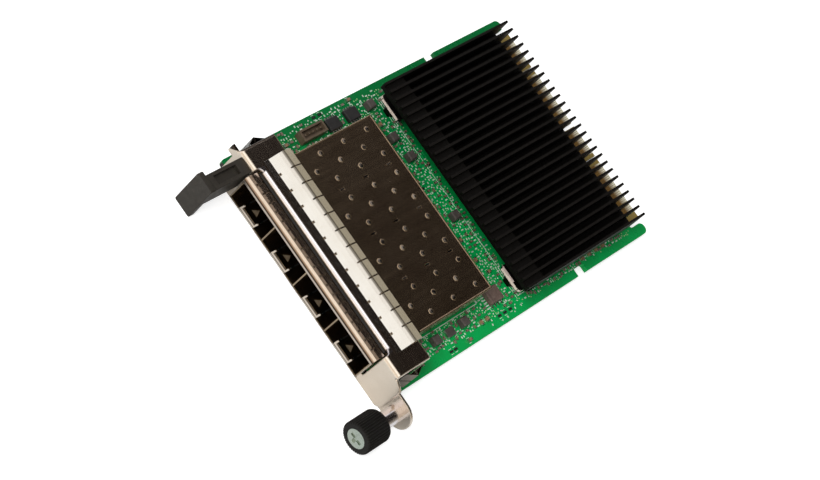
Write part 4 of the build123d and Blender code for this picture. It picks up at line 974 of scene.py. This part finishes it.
# Knob with fine rounded ridges in place of the CAD one's coarse grooves
knob_low, knob_high = box_mm("thumb_knob")
knob_x, knob_z = (knob_low[0] + knob_high[0]) / 2, (knob_low[2] + knob_high[2]) / 2
knob_radius = (knob_high[0] - knob_low[0]) / 2
front, rear = knob_low[1], knob_high[1]
head_pocket, head_floor = 2.88, front + 1.53
spring_bore, spring_floor = 2.8, rear - 6.13
shaft_hole = 1.53
knob_profile = [
    (front, head_pocket), (front, knob_radius - 0.5), (front + 0.1, knob_radius - 0.2),
    (front + 0.35, knob_radius), (rear - 1.0, knob_radius), (rear - 0.8, knob_radius - 0.05),
    (rear - 0.35, knob_radius - 0.3), (rear - 0.1, knob_radius - 0.65), (rear, knob_radius - 1.0),
    (rear, spring_bore), (spring_floor, spring_bore), (spring_floor, shaft_hole),
    (head_floor, shaft_hole), (head_floor, head_pocket),
]
ridged = [0, 0.3, 1, 1, 1, 0.2] + [0] * (len(knob_profile) - 6)
knob = turned_ring(knob_profile, ridged, knob_x, knob_z, sides=320, ridges=40, depth=0.26)
add_piece("knob_ridged", *knob, "knob_black", MATERIALS["knob_black"], rides_on="thumbscrew",
          stands_for="thumb_knob")

# Spring of smooth round wire in place of the CAD one, between the washer and the barrel
spring_low, spring_high = box_mm("thumb_spring")
barrel_face, washer_face = box_mm("thumb_barrel")[0][1], box_mm("thumb_washer")[1][1]
wire, end_gap, stroke = 0.4, 0.23, 3.5
coil_radius = (spring_high[0] - spring_low[0] - wire) / 2
wound = coil(
    knob_x, knob_z, washer_face + end_gap, barrel_face - end_gap, coil_radius, turns=3.5, wire=wire,
    runs=112, sides=10,
)
spring = add_piece("push_spring", *wound, "screw_zinc", MATERIALS["screw_zinc"], stands_for="thumb_spring")
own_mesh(spring)


# Camera solved from the photograph: lens, three directions and place
camera_data = bpy.data.cameras.new("photo_camera")
camera_data.sensor_width = 36.0
camera_data.lens = 101.85
camera_data.clip_start, camera_data.clip_end = 0.05, 20.0
camera = bpy.data.objects.new("photo_camera", camera_data)
right = Vector((0.571546, 0.653476, 0.496290))
up = -Vector((0.815104, -0.382435, -0.435143))
back = right.cross(up)
camera.matrix_world = Matrix((
    (right.x, up.x, back.x, 0.064196),
    (right.y, up.y, back.y, -0.368332),
    (right.z, up.z, back.z, 0.472365),
    (0.0, 0.0, 0.0, 1.0),
))
scene.collection.objects.link(camera)
scene.camera = camera


# World: white for the camera, a studio dome in reflections, an even sky for soft light
world = bpy.data.worlds.new("studio")
world.use_nodes = True
tree = world.node_tree
tree.nodes.clear()
path = node(tree, "ShaderNodeLightPath", (-3, 2))
seen = node(
    tree, "ShaderNodeMath", (-2, 2),
    {0: path.outputs["Is Camera Ray"], 1: path.outputs["Is Transmission Ray"]}, operation="MAXIMUM",
)
compass = node(tree, "ShaderNodeTexCoord", (-7, 0))
axes = node(tree, "ShaderNodeSeparateXYZ", (-6, 0), {"Vector": compass.outputs["Generated"]})
arc = node(
    tree, "ShaderNodeMath", (-5, 0), {0: axes.outputs["Z"], 1: axes.outputs["Y"]}, operation="ARCTAN2",
)
turn = node(tree, "ShaderNodeMath", (-4, 0), {0: arc.outputs[0], 1: math.pi}, operation="DIVIDE")
# Glossy rays see this dome, a ramp over the angle from the rear (0) over the top (0.5) to the front (1)
dome = ramp(tree, (-3, 0), turn.outputs[0], [
    (0.00, rgb(160, 154, 138)),
    (0.07, rgb(118, 111, 98)),
    (0.14, rgb(34, 26, 19)),
    (0.20, rgb(19, 13, 9)),
    (0.325, rgb(19, 13, 9)),
    (0.365, rgb(84, 72, 64)),
    (0.40, rgb(186, 174, 164)),
    (0.43, rgb(252, 249, 244)),
    (0.62, rgb(255, 254, 251)),
    (0.69, rgb(226, 216, 206)),
    (0.79, rgb(200, 188, 176)),
    (0.95, rgb(236, 228, 216)),
    (1.00, rgb(236, 228, 216)),
])
aside = node(
    tree, "ShaderNodeMapRange", (-4, -2),
    {"Value": axes.outputs["X"], "From Min": 0.55, "From Max": 0.95, "To Min": 0.0, "To Max": 1.0},
)
left = node(
    tree, "ShaderNodeMapRange", (-4, -3),
    {"Value": axes.outputs["X"], "From Min": -0.27, "From Max": -0.42, "To Min": 0.0, "To Max": 1.0},
)
ring = node(
    tree, "ShaderNodeMix", (-2, -1),
    {"Factor": aside.outputs[0], 6: dome.outputs["Color"], 7: rgb(150, 140, 128)}, data_type="RGBA",
)
both = node(
    tree, "ShaderNodeMix", (-2, -2),
    {"Factor": left.outputs[0], 6: ring.outputs[2], 7: rgb(228, 222, 222)}, data_type="RGBA",
)
white = node(tree, "ShaderNodeBackground", (-1, 2), {"Color": grey(1.0), "Strength": 1.0})
soft = node(tree, "ShaderNodeBackground", (-1, 1), {"Color": (0.97, 0.99, 1.0, 1.0), "Strength": 0.42})
shine = node(tree, "ShaderNodeBackground", (-1, 0), {"Color": both.outputs[2], "Strength": 1.35})
dull = node(
    tree, "ShaderNodeMixShader", (0, 0),
    {"Fac": path.outputs["Is Glossy Ray"], 1: soft.outputs[0], 2: shine.outputs[0]},
)
mixed = node(
    tree, "ShaderNodeMixShader", (1, 0), {"Fac": seen.outputs[0], 1: dull.outputs[0], 2: white.outputs[0]},
)
out = node(tree, "ShaderNodeOutputWorld", (2, 0))
tree.links.new(mixed.outputs[0], out.inputs["Surface"])
scene.world = world


def make_lamp(name, place, aim, size, power, colour):
    """A soft rectangular lamp aimed at a point."""
    data = bpy.data.lights.new(name, "AREA")
    data.shape = "RECTANGLE"
    data.size, data.size_y = size
    data.energy = power
    data.color = colour
    lamp = bpy.data.objects.new(name, data)
    lamp.location = place
    lamp.rotation_euler = (Vector(place) - Vector(aim)).to_track_quat("Z", "Y").to_euler()
    lamp.visible_glossy = False
    scene.collection.objects.link(lamp)


CARD_MIDDLE = (0, 0.04, 0)
make_lamp(
    "key_overhead", (-0.2, -0.65, 0.85), CARD_MIDDLE, size=(0.5, 0.5), power=8.5, colour=(1.0, 0.98, 0.95),
)
make_lamp(
    "fill_front", (0.5, -1.0, 0.5), CARD_MIDDLE, size=(0.9, 0.6), power=3.5, colour=(1.0, 0.98, 0.96),
)

# Floor: pale, lit to white, and it keeps the object's shadow
floor_mesh = bpy.data.meshes.new("floor")
FLOOR_HALF = 3
floor_corners = [(x * FLOOR_HALF, y * FLOOR_HALF, 0) for x, y in ((-1, -1), (1, -1), (1, 1), (-1, 1))]
floor_mesh.from_pydata(floor_corners, [], [(0, 1, 2, 3)])
floor = bpy.data.objects.new("floor", floor_mesh)
scene.collection.objects.link(floor)
material, tree, shader = new_material("floor_paper")
cloud = use(tree, "tint", (-2, 1), Base=grey(0.82), Other=grey(0.78), Scale=6.0, Contrast=1.0)
tree.links.new(cloud.outputs["Color"], shader.inputs["Base Color"])
paper = use(tree, "grain", (-1, -2), Scale=900.0, Strength=0.05, Edge=0.0)
tree.links.new(paper.outputs["Normal"], shader.inputs["Normal"])
shader.inputs["Roughness"].default_value = 0.9
shader.inputs["Specular IOR Level"].default_value = 0.1
lift = node(tree, "ShaderNodeLightPath", (0, -1))
glow = node(
    tree, "ShaderNodeMath", (1, -1), {0: lift.outputs["Is Camera Ray"], 1: 0.62}, operation="MULTIPLY",
)
shader.inputs["Emission Color"].default_value = grey(1.0)
tree.links.new(glow.outputs[0], shader.inputs["Emission Strength"])
floor_mesh.materials.append(material)

scene.view_settings.view_transform = "Standard"
